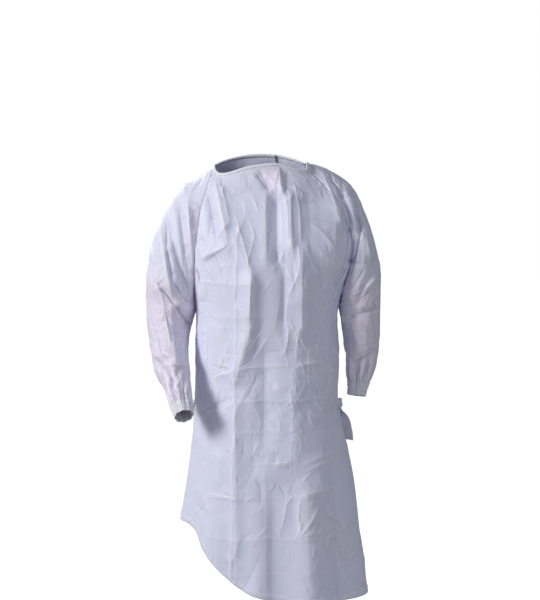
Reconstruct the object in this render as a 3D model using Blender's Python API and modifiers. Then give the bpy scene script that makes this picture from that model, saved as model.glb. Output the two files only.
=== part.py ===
"""An isolation gown, worn but empty: raglan sleeves, open back, elastic cuffs, neck binding and waist ties.

Units are metres and +Z is up. The gown faces -Y, so +X is the wearer's left. The origin lies between the
two points where the gown rests on the shoulders, beside the neck.

Every cloth piece is a wall around a grid of points. A grid's rows run across the piece and its columns down
it. Pieces that are sewn together share the points of their seam, and then draw back from it by half of
SEAM_GAP.
"""

import math

import bpy
import numpy as np
from mathutils import Matrix, Vector

# Cloth
WALL = 0.0015
SEAM_GAP = 0.0003
TRIM_GAP = 0.0004
SQUARENESS = 2.3

# How finely the pieces are divided
FRONT_COLUMNS = 32
BACK_COLUMNS = 14
LAP_COLUMNS = 4
SLEEVE_COLUMNS = 32
YOKE_ROWS = 8
SKIRT_ROWS = 15
ARM_ROWS = 14
CUFF_ROWS = 2

# Cut and closure
UNDERARM_MID = -0.328
UNDERARM_RISE_TO_LEFT = 0.007
BACK_OVERLAP = math.radians(15)
OVERLAP_LIFT = 0.0052
BINDING_WIDTH = 0.007
BINDING_THICKNESS = 0.0009
BOUND_SHARE = 0.03
CUFF_LENGTH = 0.032
CUFF_WALL = 0.0024
CUFF_GATHERS = 8
CUFF_GATHER_DEPTH = 0.0026
WAIST = -0.553
TIE_WIDTH = 0.026
TIE_NECKED = 0.55
TIE_THICKNESS = 0.0011
TIE_GAP = 0.0009
KNOT_FROM_SEAM = 0.060
KNOT_SIZE = (0.017, 0.011, 0.024)
KNOT_ROUNDING = 0.0035
KNOT_GAP = 0.0020
TAB_HEIGHT = -0.013
TAB_WIDTH = 0.022
TAB_REACH = 0.034

# Looks: the colour and the roughness of the film-coated cloth, of its tapes, and of the elastic cuffs
CLOTH = ((0.69, 0.69, 0.77, 1.0), 0.42)
TAPE = ((0.76, 0.76, 0.83, 1.0), 0.60)
ELASTIC = ((0.74, 0.73, 0.80, 1.0), 0.80)


def table(columns, *rows):
    """A table of rows with named columns. Its first column is the one that the others are read against."""
    return dict(zip(columns.split(), np.array(rows, float).T))


# The body in plan at each height: its middle, half of its width, and its reach to the front and the back.
BODY = table(
    "height mid_x mid_y half_width front back",
    (0.060, -0.006, 0.010, 0.092, 0.060, 0.052),
    (0.000, -0.006, 0.010, 0.116, 0.080, 0.068),
    (-0.050, 0.004, 0.010, 0.158, 0.100, 0.090),
    (-0.100, 0.016, 0.010, 0.190, 0.121, 0.108),
    (-0.170, 0.023, 0.010, 0.203, 0.138, 0.118),
    (-0.230, 0.018, 0.010, 0.196, 0.143, 0.118),
    (-0.280, 0.010, 0.010, 0.177, 0.143, 0.115),
    (-0.330, 0.007, 0.010, 0.164, 0.141, 0.112),
    (-0.400, 0.007, 0.010, 0.164, 0.139, 0.108),
    (-0.480, 0.007, 0.010, 0.164, 0.139, 0.104),
    (-0.553, 0.007, 0.010, 0.165, 0.142, 0.104),
    (-0.630, 0.012, 0.010, 0.177, 0.147, 0.117),
    (-0.720, 0.016, 0.010, 0.192, 0.153, 0.132),
    (-0.820, 0.015, 0.010, 0.205, 0.160, 0.145),
    (-0.900, 0.017, 0.010, 0.213, 0.165, 0.152),
    (-1.000, 0.021, 0.010, 0.221, 0.171, 0.158),
)

# The raglan seams, by the share of the way from the neckline to the underarm: degrees from front or back.
RAGLAN = table(
    "share front back",
    (0.00, 57.0, 58.0),
    (0.12, 53.0, 54.0),
    (0.30, 54.0, 54.0),
    (0.50, 57.0, 57.0),
    (0.70, 63.0, 63.0),
    (0.88, 76.0, 76.0),
    (1.00, 90.0, 90.0),
)

# The side seams, by their share of the way from the underarm to the hem: degrees from the front.
SIDE_SEAM = table(
    "share right left",
    (0.00, 90.0, 90.0),
    (0.15, 88.0, 85.0),
    (0.40, 84.0, 78.0),
    (0.70, 80.0, 74.0),
    (1.00, 77.0, 72.0),
)

# The neckline. The front is read from the right raglan seam (-1) to the left one (1), and the back from a
# raglan seam (0) to the centre back (1).
NECK_FRONT = table(
    "share height",
    (-1.00, -0.0120),
    (-0.86, -0.0215),
    (-0.68, -0.0255),
    (-0.48, -0.0205),
    (-0.24, -0.0105),
    (0.00, -0.0050),
    (0.26, -0.0020),
    (0.40, -0.0080),
    (0.62, -0.0150),
    (0.84, -0.0180),
    (1.00, -0.0060),
)
NECK_BACK = table(
    "share height",
    (0.00, 0.0060),
    (0.30, 0.0150),
    (0.65, 0.0230),
    (1.00, 0.0260),
)

# The hem, by degrees round the body: 0 is the front, 90 the left, and -90 the right, where it hangs higher.
HEM = table(
    "angle height",
    (-180.0, -0.950),
    (-165.0, -0.940),
    (-146.0, -0.900),
    (-132.0, -0.862),
    (-118.0, -0.834),
    (-100.0, -0.820),
    (-80.0, -0.816),
    (-62.0, -0.820),
    (-52.0, -0.834),
    (-45.0, -0.862),
    (-38.0, -0.886),
    (-28.0, -0.918),
    (-14.0, -0.955),
    (4.0, -0.978),
    (45.0, -0.982),
    (95.0, -0.975),
    (150.0, -0.960),
    (180.0, -0.950),
)

# The sleeves. Their outer line runs from the neck (share 0), past the underarm (1), to the cuff (2). The cut
# is where the ring is opened for the body, in degrees from its inner side. The lean turns the ring's front
# side upwards.
SLEEVE = {
    "right": table(
        "share outer_x outer_z mid_y front back cut lean",
        (0.00, -0.112, -0.001, 0.012, 0.058, 0.050, 118.0, 0.0),
        (0.20, -0.152, -0.031, 0.012, 0.072, 0.066, 104.0, 0.0),
        (0.40, -0.196, -0.059, 0.014, 0.084, 0.078, 86.0, 0.0),
        (0.60, -0.234, -0.117, 0.015, 0.088, 0.084, 64.0, 0.0),
        (0.80, -0.258, -0.188, 0.013, 0.086, 0.084, 38.0, 0.0),
        (1.00, -0.270, -0.252, 0.010, 0.080, 0.080, 0.0, 0.0),
        (1.20, -0.270, -0.325, 0.004, 0.070, 0.072, 0.0, 8.0),
        (1.40, -0.264, -0.392, -0.020, 0.059, 0.063, 0.0, 24.0),
        (1.60, -0.249, -0.455, -0.062, 0.051, 0.055, 0.0, 36.0),
        (1.80, -0.226, -0.503, -0.102, 0.043, 0.045, 0.0, 38.0),
        (2.00, -0.207, -0.545, -0.134, 0.028, 0.028, 0.0, 38.0),
    ),
    "left": table(
        "share outer_x outer_z mid_y front back cut lean",
        (0.00, 0.098, 0.004, 0.012, 0.058, 0.050, 118.0, 0.0),
        (0.20, 0.147, -0.012, 0.012, 0.072, 0.066, 104.0, 0.0),
        (0.40, 0.200, -0.048, 0.014, 0.084, 0.078, 86.0, 0.0),
        (0.60, 0.231, -0.107, 0.015, 0.088, 0.084, 64.0, 0.0),
        (0.80, 0.255, -0.175, 0.013, 0.086, 0.084, 38.0, 0.0),
        (1.00, 0.268, -0.245, 0.010, 0.080, 0.080, 0.0, 0.0),
        (1.20, 0.268, -0.312, 0.008, 0.070, 0.070, 0.0, -3.0),
        (1.40, 0.268, -0.375, 0.012, 0.060, 0.060, 0.0, -2.0),
        (1.60, 0.265, -0.425, 0.014, 0.052, 0.052, 0.0, 3.0),
        (1.80, 0.257, -0.466, 0.010, 0.041, 0.041, 0.0, 8.0),
        (2.00, 0.242, -0.504, 0.004, 0.028, 0.028, 0.0, 8.0),
    ),
}
SLEEVE_INNER = {
    "right": table(
        "share inner_x inner_z",
        (1.00, -0.157, -0.335),
        (1.20, -0.171, -0.382),
        (1.40, -0.173, -0.425),
        (1.60, -0.168, -0.467),
        (1.80, -0.165, -0.505),
        (2.00, -0.160, -0.536),
    ),
    "left": table(
        "share inner_x inner_z",
        (1.00, 0.171, -0.321),
        (1.20, 0.178, -0.358),
        (1.40, 0.182, -0.397),
        (1.60, 0.188, -0.436),
        (1.80, 0.193, -0.470),
        (2.00, 0.196, -0.498),
    ),
}

# The largest folds. Each runs between two places seen from the front or back. A depth above 0 is a ridge.
FOLD_COLUMNS = "x_top z_top x_low z_low width depth"
FRONT_FOLDS = table(
    FOLD_COLUMNS,
    (0.034, 0.006, 0.040, -0.085, 0.014, 0.0080),
    (-0.016, -0.008, 0.014, -0.062, 0.012, -0.0055),
    (0.004, -0.060, 0.006, -0.240, 0.018, 0.0040),
    (0.028, -0.055, 0.030, -0.250, 0.016, -0.0075),
    (0.060, -0.060, 0.062, -0.215, 0.018, 0.0065),
    (0.046, -0.170, 0.044, -0.390, 0.020, -0.0060),
    (0.086, -0.180, 0.084, -0.400, 0.022, 0.0070),
    (-0.112, -0.030, -0.078, -0.185, 0.018, 0.0080),
    (-0.128, -0.060, -0.106, -0.180, 0.016, -0.0070),
    (-0.140, -0.215, -0.076, -0.186, 0.014, 0.0050),
    (-0.028, -0.240, -0.032, -0.400, 0.024, 0.0090),
    (-0.036, -0.380, -0.064, -0.500, 0.024, 0.0080),
    (-0.064, -0.470, -0.060, -0.960, 0.026, 0.0090),
    (0.002, -0.400, 0.000, -0.640, 0.032, -0.0060),
    (0.068, -0.430, 0.070, -0.700, 0.030, 0.0060),
    (0.020, -0.700, 0.018, -1.000, 0.034, -0.0080),
    (0.096, -0.700, 0.102, -1.000, 0.034, 0.0080),
    (0.158, -0.020, 0.176, -0.150, 0.014, 0.0080),
    (0.150, -0.560, 0.166, -1.000, 0.026, -0.0060),
)
BACK_FOLDS = table(
    FOLD_COLUMNS,
    (-0.090, 0.000, -0.030, -0.240, 0.020, 0.0060),
    (0.084, -0.010, 0.040, -0.260, 0.020, 0.0060),
    (-0.130, -0.120, -0.110, -0.520, 0.022, -0.0070),
    (-0.060, -0.180, -0.062, -0.530, 0.020, 0.0070),
    (0.012, -0.200, 0.010, -0.530, 0.020, -0.0060),
    (0.074, -0.160, 0.070, -0.530, 0.020, 0.0075),
    (0.130, -0.150, 0.116, -0.520, 0.020, -0.0070),
    (-0.125, -0.575, -0.150, -0.960, 0.024, 0.0090),
    (-0.075, -0.575, -0.084, -0.980, 0.024, -0.0095),
    (-0.030, -0.575, -0.030, -0.980, 0.024, 0.0095),
    (0.045, -0.575, 0.052, -0.980, 0.024, -0.0090),
    (0.090, -0.575, 0.110, -0.980, 0.024, 0.0100),
    (0.135, -0.575, 0.166, -0.980, 0.024, -0.0090),
)
SLEEVE_FOLDS = {
    "right": table(
        FOLD_COLUMNS,
        (-0.226, -0.110, -0.164, -0.318, 0.013, -0.0085),
        (-0.236, -0.140, -0.206, -0.310, 0.016, 0.0060),
        (-0.194, -0.090, -0.166, -0.285, 0.012, -0.0060),
        (-0.172, -0.080, -0.158, -0.250, 0.012, 0.0070),
        (-0.262, -0.256, -0.176, -0.358, 0.015, 0.0080),
        (-0.250, -0.300, -0.190, -0.400, 0.015, -0.0065),
        (-0.214, -0.340, -0.194, -0.460, 0.014, 0.0060),
        (-0.250, -0.440, -0.184, -0.500, 0.012, -0.0055),
        (-0.236, -0.420, -0.176, -0.452, 0.012, 0.0050),
    ),
    "left": table(
        FOLD_COLUMNS,
        (0.176, -0.040, 0.198, -0.200, 0.012, -0.0090),
        (0.196, -0.060, 0.214, -0.180, 0.012, 0.0060),
        (0.216, -0.080, 0.218, -0.230, 0.014, -0.0100),
        (0.240, -0.130, 0.226, -0.290, 0.016, 0.0080),
        (0.262, -0.200, 0.200, -0.345, 0.014, -0.0065),
        (0.256, -0.250, 0.204, -0.330, 0.014, 0.0065),
        (0.264, -0.326, 0.186, -0.352, 0.012, -0.0060),
        (0.236, -0.340, 0.228, -0.440, 0.016, 0.0060),
        (0.262, -0.420, 0.204, -0.456, 0.012, -0.0055),
    ),
}

# The free ends of the ties below the knot: the drop of each row, its place aside (to the back) and away
# from the cloth, how far its width is turned outwards, and half of its width.
FREE_ENDS = {
    "tie_end_outer": table(
        "drop aside out turn half_width",
        (0.0126, -0.003, 0.007, 0.0, 0.006),
        (0.024, -0.006, 0.013, -20.0, 0.011),
        (0.040, -0.008, 0.019, -30.0, 0.013),
        (0.062, -0.008, 0.025, -30.0, 0.013),
        (0.086, -0.007, 0.030, -25.0, 0.013),
    ),
    "tie_end_inner": table(
        "drop aside out turn half_width",
        (0.0126, 0.006, 0.004, 0.0, 0.0055),
        (0.030, 0.018, 0.010, 0.0, 0.011),
        (0.060, 0.026, 0.017, 0.0, 0.013),
        (0.095, 0.030, 0.025, 0.0, 0.013),
        (0.135, 0.032, 0.033, 0.0, 0.013),
        (0.180, 0.033, 0.041, 0.0, 0.013),
    ),
}

HEM_FLUTES = 9
HEM_FLUTE_DEPTH = 0.006


def curve(rows, column, at):
    """One column of a table, read at any place on its first column, as a smooth curve through the rows."""
    places = next(iter(rows.values()))
    values = rows[column]
    if places[0] > places[-1]:
        places, values = places[::-1], values[::-1]
    slopes = np.gradient(values, places)
    at = np.clip(np.asarray(at, float), places[0], places[-1])
    row = np.clip(np.searchsorted(places, at) - 1, 0, len(places) - 2)
    step = places[row + 1] - places[row]
    t = (at - places[row]) / step
    return (
        values[row] * (1 + 2 * t) * (1 - t) ** 2
        + values[row + 1] * t * t * (3 - 2 * t)
        + slopes[row] * step * t * (1 - t) ** 2
        - slopes[row + 1] * step * t * t * (1 - t)
    )


def ease(value, low, high):
    """0 below low and 1 above high, with a smooth rise between them."""
    t = np.clip((value - low) / (high - low), 0, 1)
    return t * t * (3 - 2 * t)


def unit(vectors):
    length = np.linalg.norm(vectors, axis=-1, keepdims=True)
    return vectors / np.maximum(length, 1e-12)


def mixed(a, b, share):
    return a + (b - a) * share


def body_point(angle, height):
    """A point of the unfolded body: its angle is 0 at the front and 90 degrees at the wearer's left."""
    mid_x, mid_y, half_width, front, back = (
        curve(BODY, column, height)
        for column in ("mid_x", "mid_y", "half_width", "front", "back")
    )
    power = 2 / SQUARENESS
    sine, cosine = np.sin(angle), np.cos(angle)
    across = np.sign(sine) * np.abs(sine) ** power
    along = np.sign(cosine) * np.abs(cosine) ** power
    reach = np.where(cosine > 0, front, back)
    return np.stack(np.broadcast_arrays(mid_x + half_width * across, mid_y - reach * along, height), -1)


def underarm_height(angle):
    return UNDERARM_MID + UNDERARM_RISE_TO_LEFT * np.sin(angle)


def shares(count):
    """count + 1 even shares from 0 to 1."""
    return np.linspace(0, 1, count + 1)


def yoke_shares():
    """The rows from the neckline to the underarm. The first one is the strip under the binding."""
    return np.append(0, mixed(BOUND_SHARE, 1, shares(YOKE_ROWS - 1)))


def front_grid():
    """The front panel, from the right side to the left, and from the neckline to the hem."""
    across = np.linspace(-1, 1, FRONT_COLUMNS + 1)[None, :]
    yoke = yoke_shares()[:, None]
    angle = np.radians(curve(RAGLAN, "front", yoke)) * across
    neck = curve(NECK_FRONT, "height", across)
    rows = [body_point(angle, mixed(neck, underarm_height(across * math.pi / 2), yoke))]
    skirt = shares(SKIRT_ROWS)[1:, None]
    side = np.where(across < 0, curve(SIDE_SEAM, "right", skirt), curve(SIDE_SEAM, "left", skirt))
    angle = np.radians(side) * across
    hem = curve(HEM, "height", np.degrees(angle))
    rows.append(body_point(angle, mixed(underarm_height(across * math.pi / 2), hem, skirt)))
    return np.concatenate(rows)


def back_angles(start):
    """Where a back panel's columns stand, from seam to free edge: the same in both where they overlap."""
    lap = math.pi - BACK_OVERLAP
    before = mixed(start, lap, shares(BACK_COLUMNS - LAP_COLUMNS)[None, :-1])
    within = mixed(lap, math.pi + BACK_OVERLAP, shares(LAP_COLUMNS))
    within = np.broadcast_to(within, (len(before), LAP_COLUMNS + 1))
    return np.concatenate([before, within], axis=1)


def back_grid(side):
    """A back panel, from its side seam to its free edge past the centre back, and from neckline to hem."""
    sign = {"right": -1, "left": 1}[side]
    yoke = yoke_shares()[:, None]
    angle = back_angles(math.pi - np.radians(curve(RAGLAN, "back", yoke)))
    to_centre = (angle[:1] - angle[0, 0]) / (math.pi - angle[0, 0])
    neck = curve(NECK_BACK, "height", 1 - np.abs(1 - to_centre))
    low = underarm_height(sign * angle[-1:])
    rows = [body_point(sign * angle, mixed(neck, low, yoke))]
    skirt = shares(SKIRT_ROWS)[1:, None]
    angle = back_angles(np.radians(curve(SIDE_SEAM, side, skirt)))
    hem = curve(HEM, "height", (np.degrees(sign * angle) + 180) % 360 - 180)
    rows.append(body_point(sign * angle, mixed(low, hem, skirt)))
    return np.concatenate(rows)


def sleeve_grid(side, front_seam, back_seam):
    """A sleeve, round from its front seam over the arm to its back seam, and from the neckline to the cuff.

    Below the underarm its first and last columns are one line, on the inner side of the arm.
    """
    rows = SLEEVE[side]
    arm = 1 + shares(ARM_ROWS)[1:]
    share = np.concatenate([yoke_shares(), arm])
    outer_x, outer_z, mid_y, front, back, cut, lean = (
        curve(rows, column, share)[:, None]
        for column in ("outer_x", "outer_z", "mid_y", "front", "back", "cut", "lean")
    )
    inner_x = curve(SLEEVE_INNER[side], "inner_x", arm)
    inner_z = curve(SLEEVE_INNER[side], "inner_z", arm)
    inner_line = np.stack([inner_x, curve(rows, "mid_y", arm), inner_z], -1)
    cut = np.radians(np.clip(cut, 0, None))
    lean = np.radians(lean)
    outer = np.concatenate([outer_x, mid_y, outer_z], -1)[:, None, :]
    round_share = np.linspace(0, 1, SLEEVE_COLUMNS // 2 + 1)[None, :]
    halves = []
    for seam, depth, way in ((front_seam, front, -1), (back_seam, back, 1)):
        start = np.concatenate([seam, inner_line])[:, None, :]
        low = start * (1, 0, 1) + outer * (0, 1, 0)
        turn = mixed(cut, math.pi, round_share)
        reach = (1 + np.cos(turn)) / (1 + np.cos(cut))
        towards = np.concatenate([0 * lean, way * np.cos(lean), -way * np.sin(lean)], -1)[:, None, :]
        points = outer + (low - outer) * reach[..., None] + towards * (depth * np.sin(turn))[..., None]
        points += (start - points[:, :1]) * ((1 - round_share) ** 2)[..., None]
        halves.append(points)
    return np.concatenate([halves[0], halves[1][:, -2::-1]], axis=1)


def fold_height(folds, points):
    """How far a table of folds moves each point, as seen from the front or the back."""
    moved = np.zeros(points.shape[:-1])
    for x_top, z_top, x_low, z_low, width, depth in zip(*folds.values()):
        run = np.array([x_low - x_top, z_low - z_top])
        length = np.linalg.norm(run)
        offset = points[..., ::2] - (x_top, z_top)
        along = offset @ run / length**2
        aside = (offset[..., 0] * run[1] - offset[..., 1] * run[0]) / length
        ends = ease(along, -0.05, 0.2) * (1 - ease(along, 0.8, 1.05))
        moved += depth * ends / (1 + (aside / width) ** 2) ** 2
    return moved


def grid_faces(grid, closed_from=None):
    """The triangles of a grid, cut along the shorter way across each of its squares.

    In the rows from closed_from on, the grid's last column is its first one.
    """
    rows, columns = grid.shape[:2]
    index = np.arange(rows * columns).reshape(rows, columns)
    if closed_from is not None:
        index[closed_from:, -1] = index[closed_from:, 0]
    falling = np.linalg.norm(grid[:-1, :-1] - grid[1:, 1:], axis=-1)
    rising = np.linalg.norm(grid[1:, :-1] - grid[:-1, 1:], axis=-1)
    faces = []
    for r in range(rows - 1):
        for c in range(columns - 1):
            a, b, d, e = index[r, c], index[r + 1, c], index[r + 1, c + 1], index[r, c + 1]
            if falling[r, c] <= rising[r, c]:
                faces += [(a, b, d), (a, d, e)]
            else:
                faces += [(a, b, e), (b, d, e)]
    return faces


def grid_normals(grid, closed_from):
    """The unit normal of a grid at each of its points."""
    points = grid.reshape(-1, 3)
    faces = np.array(grid_faces(grid, closed_from))
    a, b, c = (points[faces[:, corner]] for corner in range(3))
    total = np.zeros_like(points)
    for corner in range(3):
        np.add.at(total, faces[:, corner], np.cross(b - a, c - a))
    total = total.reshape(grid.shape)
    if closed_from is not None:
        total[closed_from:, -1] = total[closed_from:, 0]
    return unit(total)


def sewn_normals(pieces):
    """The normals of all grids: of each by itself, and as one sewn surface where they share points."""
    own = {name: grid_normals(grid, closed_from) for name, (grid, closed_from) in pieces.items()}
    points = np.concatenate([grid.reshape(-1, 3) for grid, _ in pieces.values()])
    flat = np.concatenate([normals.reshape(-1, 3) for normals in own.values()])
    same = np.unique(np.round(points, 6), axis=0, return_inverse=True)[1].reshape(-1)
    total = np.zeros((same.max() + 1, 3))
    np.add.at(total, same, flat)
    flat = unit(total)[same]
    shared, start = {}, 0
    for name, (grid, _) in pieces.items():
        count = grid.shape[0] * grid.shape[1]
        shared[name] = flat[start : start + count].reshape(grid.shape)
        start += count
    return own, shared


def drawn_back(points, normals, towards):
    """Seam points moved by half of the seam's gap, along the cloth and away from the seam."""
    along = unit(np.gradient(points, axis=0))
    away = towards - (towards * along).sum(-1, keepdims=True) * along
    away = unit(away)
    flat = away - (away * normals).sum(-1, keepdims=True) * normals
    level = np.clip(np.linalg.norm(flat, axis=-1, keepdims=True), 0.15, 1)
    return points + away * SEAM_GAP / 2 / level


def wall_mesh(name, outer, inner, faces, look):
    """A closed wall between an outer and an inner layer of the same faces, with a rim round the edges."""
    used = np.unique(faces)
    renumber = {old: new for new, old in enumerate(used)}
    count = len(used)
    layer = [tuple(renumber[i] for i in face) for face in faces]
    sides = {(a, b) for face in layer for a, b in zip(face, face[1:] + face[:1])}
    rim = []
    for a, b in sides:
        if (b, a) in sides:
            continue
        if a < b:
            rim += [(b, a, b + count), (a, a + count, b + count)]
        else:
            rim += [(b, a, a + count), (b, a + count, b + count)]
    under = [tuple(i + count for i in reversed(face)) for face in layer]
    points = np.concatenate([outer.reshape(-1, 3)[used], inner.reshape(-1, 3)[used]])
    mesh = bpy.data.meshes.new(name)
    mesh.from_pydata(points.tolist(), [], layer + under + rim)
    mesh.update()
    mesh.shade_smooth()
    mesh.set_sharp_from_angle(angle=math.radians(50))
    mesh.materials.append(material(name, look))
    made = bpy.data.objects.new(name, mesh)
    GOWN.objects.link(made)
    return made


def band(name, upper, lower, outward, lift):
    """A flat band between two lines of points, lifted off them by its own thickness and a gap."""
    edges = np.stack([upper, lower])
    outer = edges + outward * (lift + TIE_THICKNESS)
    return wall_mesh(name, outer, edges + outward * lift, grid_faces(outer), TAPE)


def at_height(grid, values, height):
    """Values on a grid's points, read where each of its columns crosses a height."""
    found = []
    for column, value in zip(grid.transpose(1, 0, 2), values.transpose(1, 0, 2)):
        row = int(np.nonzero(column[:, 2] > height)[0][-1])
        share = (height - column[row, 2]) / (column[row + 1, 2] - column[row, 2])
        found.append(mixed(value[row], value[row + 1], share))
    return np.array(found)


def lengths(line):
    """How far along a line each of its points is."""
    return np.append(0, np.cumsum(np.linalg.norm(np.diff(line, axis=0), axis=1)))


def cut_out(line, marks, start, end):
    """The stretch of a line whose marks lie between start and end, with both ends exact."""
    inside = (marks > start + 0.002) & (marks < end - 0.002)
    at = np.concatenate([[start], marks[inside], [end]])
    return np.stack([np.interp(at, marks, line[:, axis]) for axis in range(3)], -1)


def gown_surfaces():
    """The outer grid and the normals of each cloth panel, with its folds."""
    front = front_grid()
    backs = {side: back_grid(side) for side in ("right", "left")}
    pieces = {"front": (front, None)}
    for side in ("right", "left"):
        pieces[f"back_{side}"] = (backs[side][:, ::-1] if side == "right" else backs[side], None)
        column = 0 if side == "right" else -1
        grid = sleeve_grid(side, front[: YOKE_ROWS + 1, column], backs[side][: YOKE_ROWS + 1, 0])
        pieces[f"sleeve_{side}"] = (grid[:, ::-1] if side == "right" else grid, YOKE_ROWS)
    smooth = sewn_normals(pieces)[1]
    for name, (grid, closed_from) in pieces.items():
        pieces[name] = (folded(name, grid, smooth[name]), closed_from)
    return pieces


def folded(name, grid, normals):
    """A panel's grid, moved along its normals by its folds."""
    facing = ease(-normals[..., 1], -0.1, 0.35)
    if name.startswith("sleeve"):
        height = sleeve_fold_height(name, grid, normals, facing)
    else:
        height = body_fold_height(name, grid, facing)
    grid = grid + normals * height[..., None]
    if name == "back_left":
        lift = ease(np.arange(BACK_COLUMNS + 1), 5, BACK_COLUMNS - LAP_COLUMNS)
        grid = grid + normals * (OVERLAP_LIFT * lift)[None, :, None]
    return grid


def body_fold_height(name, grid, facing):
    """Folds of the front or the back, and flutes that grow towards the hem."""
    z = grid[..., 2]
    angle = np.arctan2(grid[..., 0], -grid[..., 1])
    flutes = np.cos(HEM_FLUTES * angle + 0.7) * ease(-z, 0.60, 1.0) * HEM_FLUTE_DEPTH
    back = fold_height(BACK_FOLDS, grid)
    height = facing * fold_height(FRONT_FOLDS, grid) + (1 - facing) * back
    rows = np.arange(grid.shape[0])[:, None]
    to_seam = np.clip(rows - YOKE_ROWS, 0, 2) / 2
    columns = np.arange(grid.shape[1])
    last = grid.shape[1] - 1
    inset = {"front": np.minimum(columns, last - columns), "back_left": columns}
    inset = inset.get(name, last - columns)[None, :] / 3
    return (height + flutes) * np.clip(np.maximum(inset, to_seam), 0, 1) * (rows > 1)


def sleeve_fold_height(name, grid, normals, facing):
    """Folds along and across a sleeve, and the gathers that its cuff draws together."""
    side = name.split("_")[1]
    folds = fold_height(SLEEVE_FOLDS[side], grid)
    height = facing * folds - (1 - facing) * 0.7 * folds
    rows, columns = np.arange(grid.shape[0])[:, None], np.arange(grid.shape[1])[None, :]
    to_seam = np.clip(np.minimum(columns, SLEEVE_COLUMNS - columns) / 3, 0, 1)
    below = np.clip((rows - YOKE_ROWS - 1) / 2, 0, 1)
    share = np.clip((rows - YOKE_ROWS) / ARM_ROWS, 0, 1)
    gathers = np.cos(2 * math.pi * CUFF_GATHERS * columns / SLEEVE_COLUMNS)
    gathers = gathers * ease(share, 0.55, 0.95) * CUFF_GATHER_DEPTH
    return height * np.maximum(to_seam, below) * (rows > 1) * (1 - ease(share, 0.8, 1.0)) + gathers


def wall_normals(own, shared):
    """The way through the wall: shared at a seam that lies flat, each piece's own in the underarm's fold."""
    flat = ease((own * shared).sum(-1, keepdims=True), 0.50, 0.85)
    return unit(mixed(own, shared, flat))


def build_panels():
    """The front, the backs and the sleeves. Returns their outer grids and normals as they lie."""
    pieces = gown_surfaces()
    own, shared = sewn_normals(pieces)
    for name, (grid, closed_from) in pieces.items():
        outer, normal = grid.copy(), shared[name]
        if name.startswith("sleeve"):
            yoke = slice(0, YOKE_ROWS + 1)
            towards = {0: outer[yoke, 1] - outer[yoke, 0], -1: outer[yoke, -2] - outer[yoke, -1]}
            for column, way in towards.items():
                way[-1] = outer[YOKE_ROWS + 1, 0] - outer[YOKE_ROWS, 0]
                outer[yoke, column] = drawn_back(grid[yoke, column], normal[yoke, column], way)
        else:
            seams = {"front": (0, -1), "back_right": (-1,), "back_left": (0,)}[name]
            for column in seams:
                inside = 1 if column == 0 else -2
                inward = grid[:, inside] - grid[:, column]
                outer[:, column] = drawn_back(grid[:, column], normal[:, column], inward)
        faces = grid_faces(grid, closed_from)
        wall_mesh(name, outer, outer - wall_normals(own[name], normal) * WALL, faces, CLOTH)
    return {name: grid for name, (grid, _) in pieces.items()}, shared


def build_cuff(side, sleeve):
    """An elastic cuff that goes on from the end of a sleeve, drawn in and gathered like it."""
    end, before = sleeve[-1], sleeve[-3]
    middle = end[:-1].mean(0)
    axis = unit(middle - before[:-1].mean(0))
    spread = end - middle
    rows = []
    for share in shares(CUFF_ROWS):
        drawn_in = 1 - 0.10 * share
        forward = axis * (SEAM_GAP + CUFF_LENGTH * share)
        rows.append(middle + spread * drawn_in + forward)
    outer = np.array(rows)
    name = f"cuff_{side}"
    normals = grid_normals(outer, 0)
    inner = outer - normals * CUFF_WALL
    faces = grid_faces(outer, 0)
    return wall_mesh(name, outer, inner, faces, ELASTIC)


def build_binding(grids, normals):
    """The binding, folded over the neckline's raw edge, from one free edge of the back to the other."""
    tops, downs, outs = [], [], []
    order = {
        "back_right": slice(None, -1),
        "sleeve_right": slice(None, -1),
        "front": slice(None, -1),
        "sleeve_left": slice(None, -1),
        "back_left": slice(None),
    }
    for name, keep in order.items():
        grid, normal = grids[name], normals[name]
        tops.append(grid[0][keep])
        downs.append(unit(grid[1] - grid[0])[keep])
        outs.append(normal[0][keep])
    top, down, out = (np.concatenate(part) for part in (tops, downs, outs))
    down = unit(down - (down * out).sum(-1, keepdims=True) * out)
    over, far = TRIM_GAP, TRIM_GAP + BINDING_THICKNESS
    under, deep = -WALL - over, -WALL - far
    profile = [
        (BINDING_WIDTH, over),
        (-over, over),
        (-over, under),
        (BINDING_WIDTH, under),
        (BINDING_WIDTH, deep),
        (-far, deep),
        (-far, far),
        (BINDING_WIDTH, far),
    ]
    rings = np.array([top + down * low + out * high for low, high in profile])
    loft_ring("neck_binding", rings.transpose(1, 0, 2), TAPE)


def loft_ring(name, rings, look):
    """A closed solid lofted through rings of equal counts, with flat ends."""
    count, corners = rings.shape[:2]
    index = np.arange(count * corners).reshape(count, corners)
    after = np.roll(index, -1, axis=1)
    faces = [
        (index[r, c], after[r, c], after[r + 1, c], index[r + 1, c])
        for r in range(count - 1)
        for c in range(corners)
    ]
    faces += [tuple(index[0, ::-1]), tuple(index[-1])]
    mesh = bpy.data.meshes.new(name)
    mesh.from_pydata(rings.reshape(-1, 3).tolist(), [], faces)
    mesh.update()
    mesh.materials.append(material(name, look))
    made = bpy.data.objects.new(name, mesh)
    GOWN.objects.link(made)
    return made


def round_the_back(grids, normals, height):
    """A line round the back at a height, as it lies on the panels, from the left side seam to the right."""
    points, outward = [], []
    for name, keep in (("back_left", slice(None)), ("back_right", slice(LAP_COLUMNS + 1, None))):
        grid = grids[name]
        points.append(at_height(grid, grid, height)[keep])
        outward.append(at_height(grid, normals[name], height)[keep])
    return np.concatenate(points), unit(np.concatenate(outward))


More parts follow.
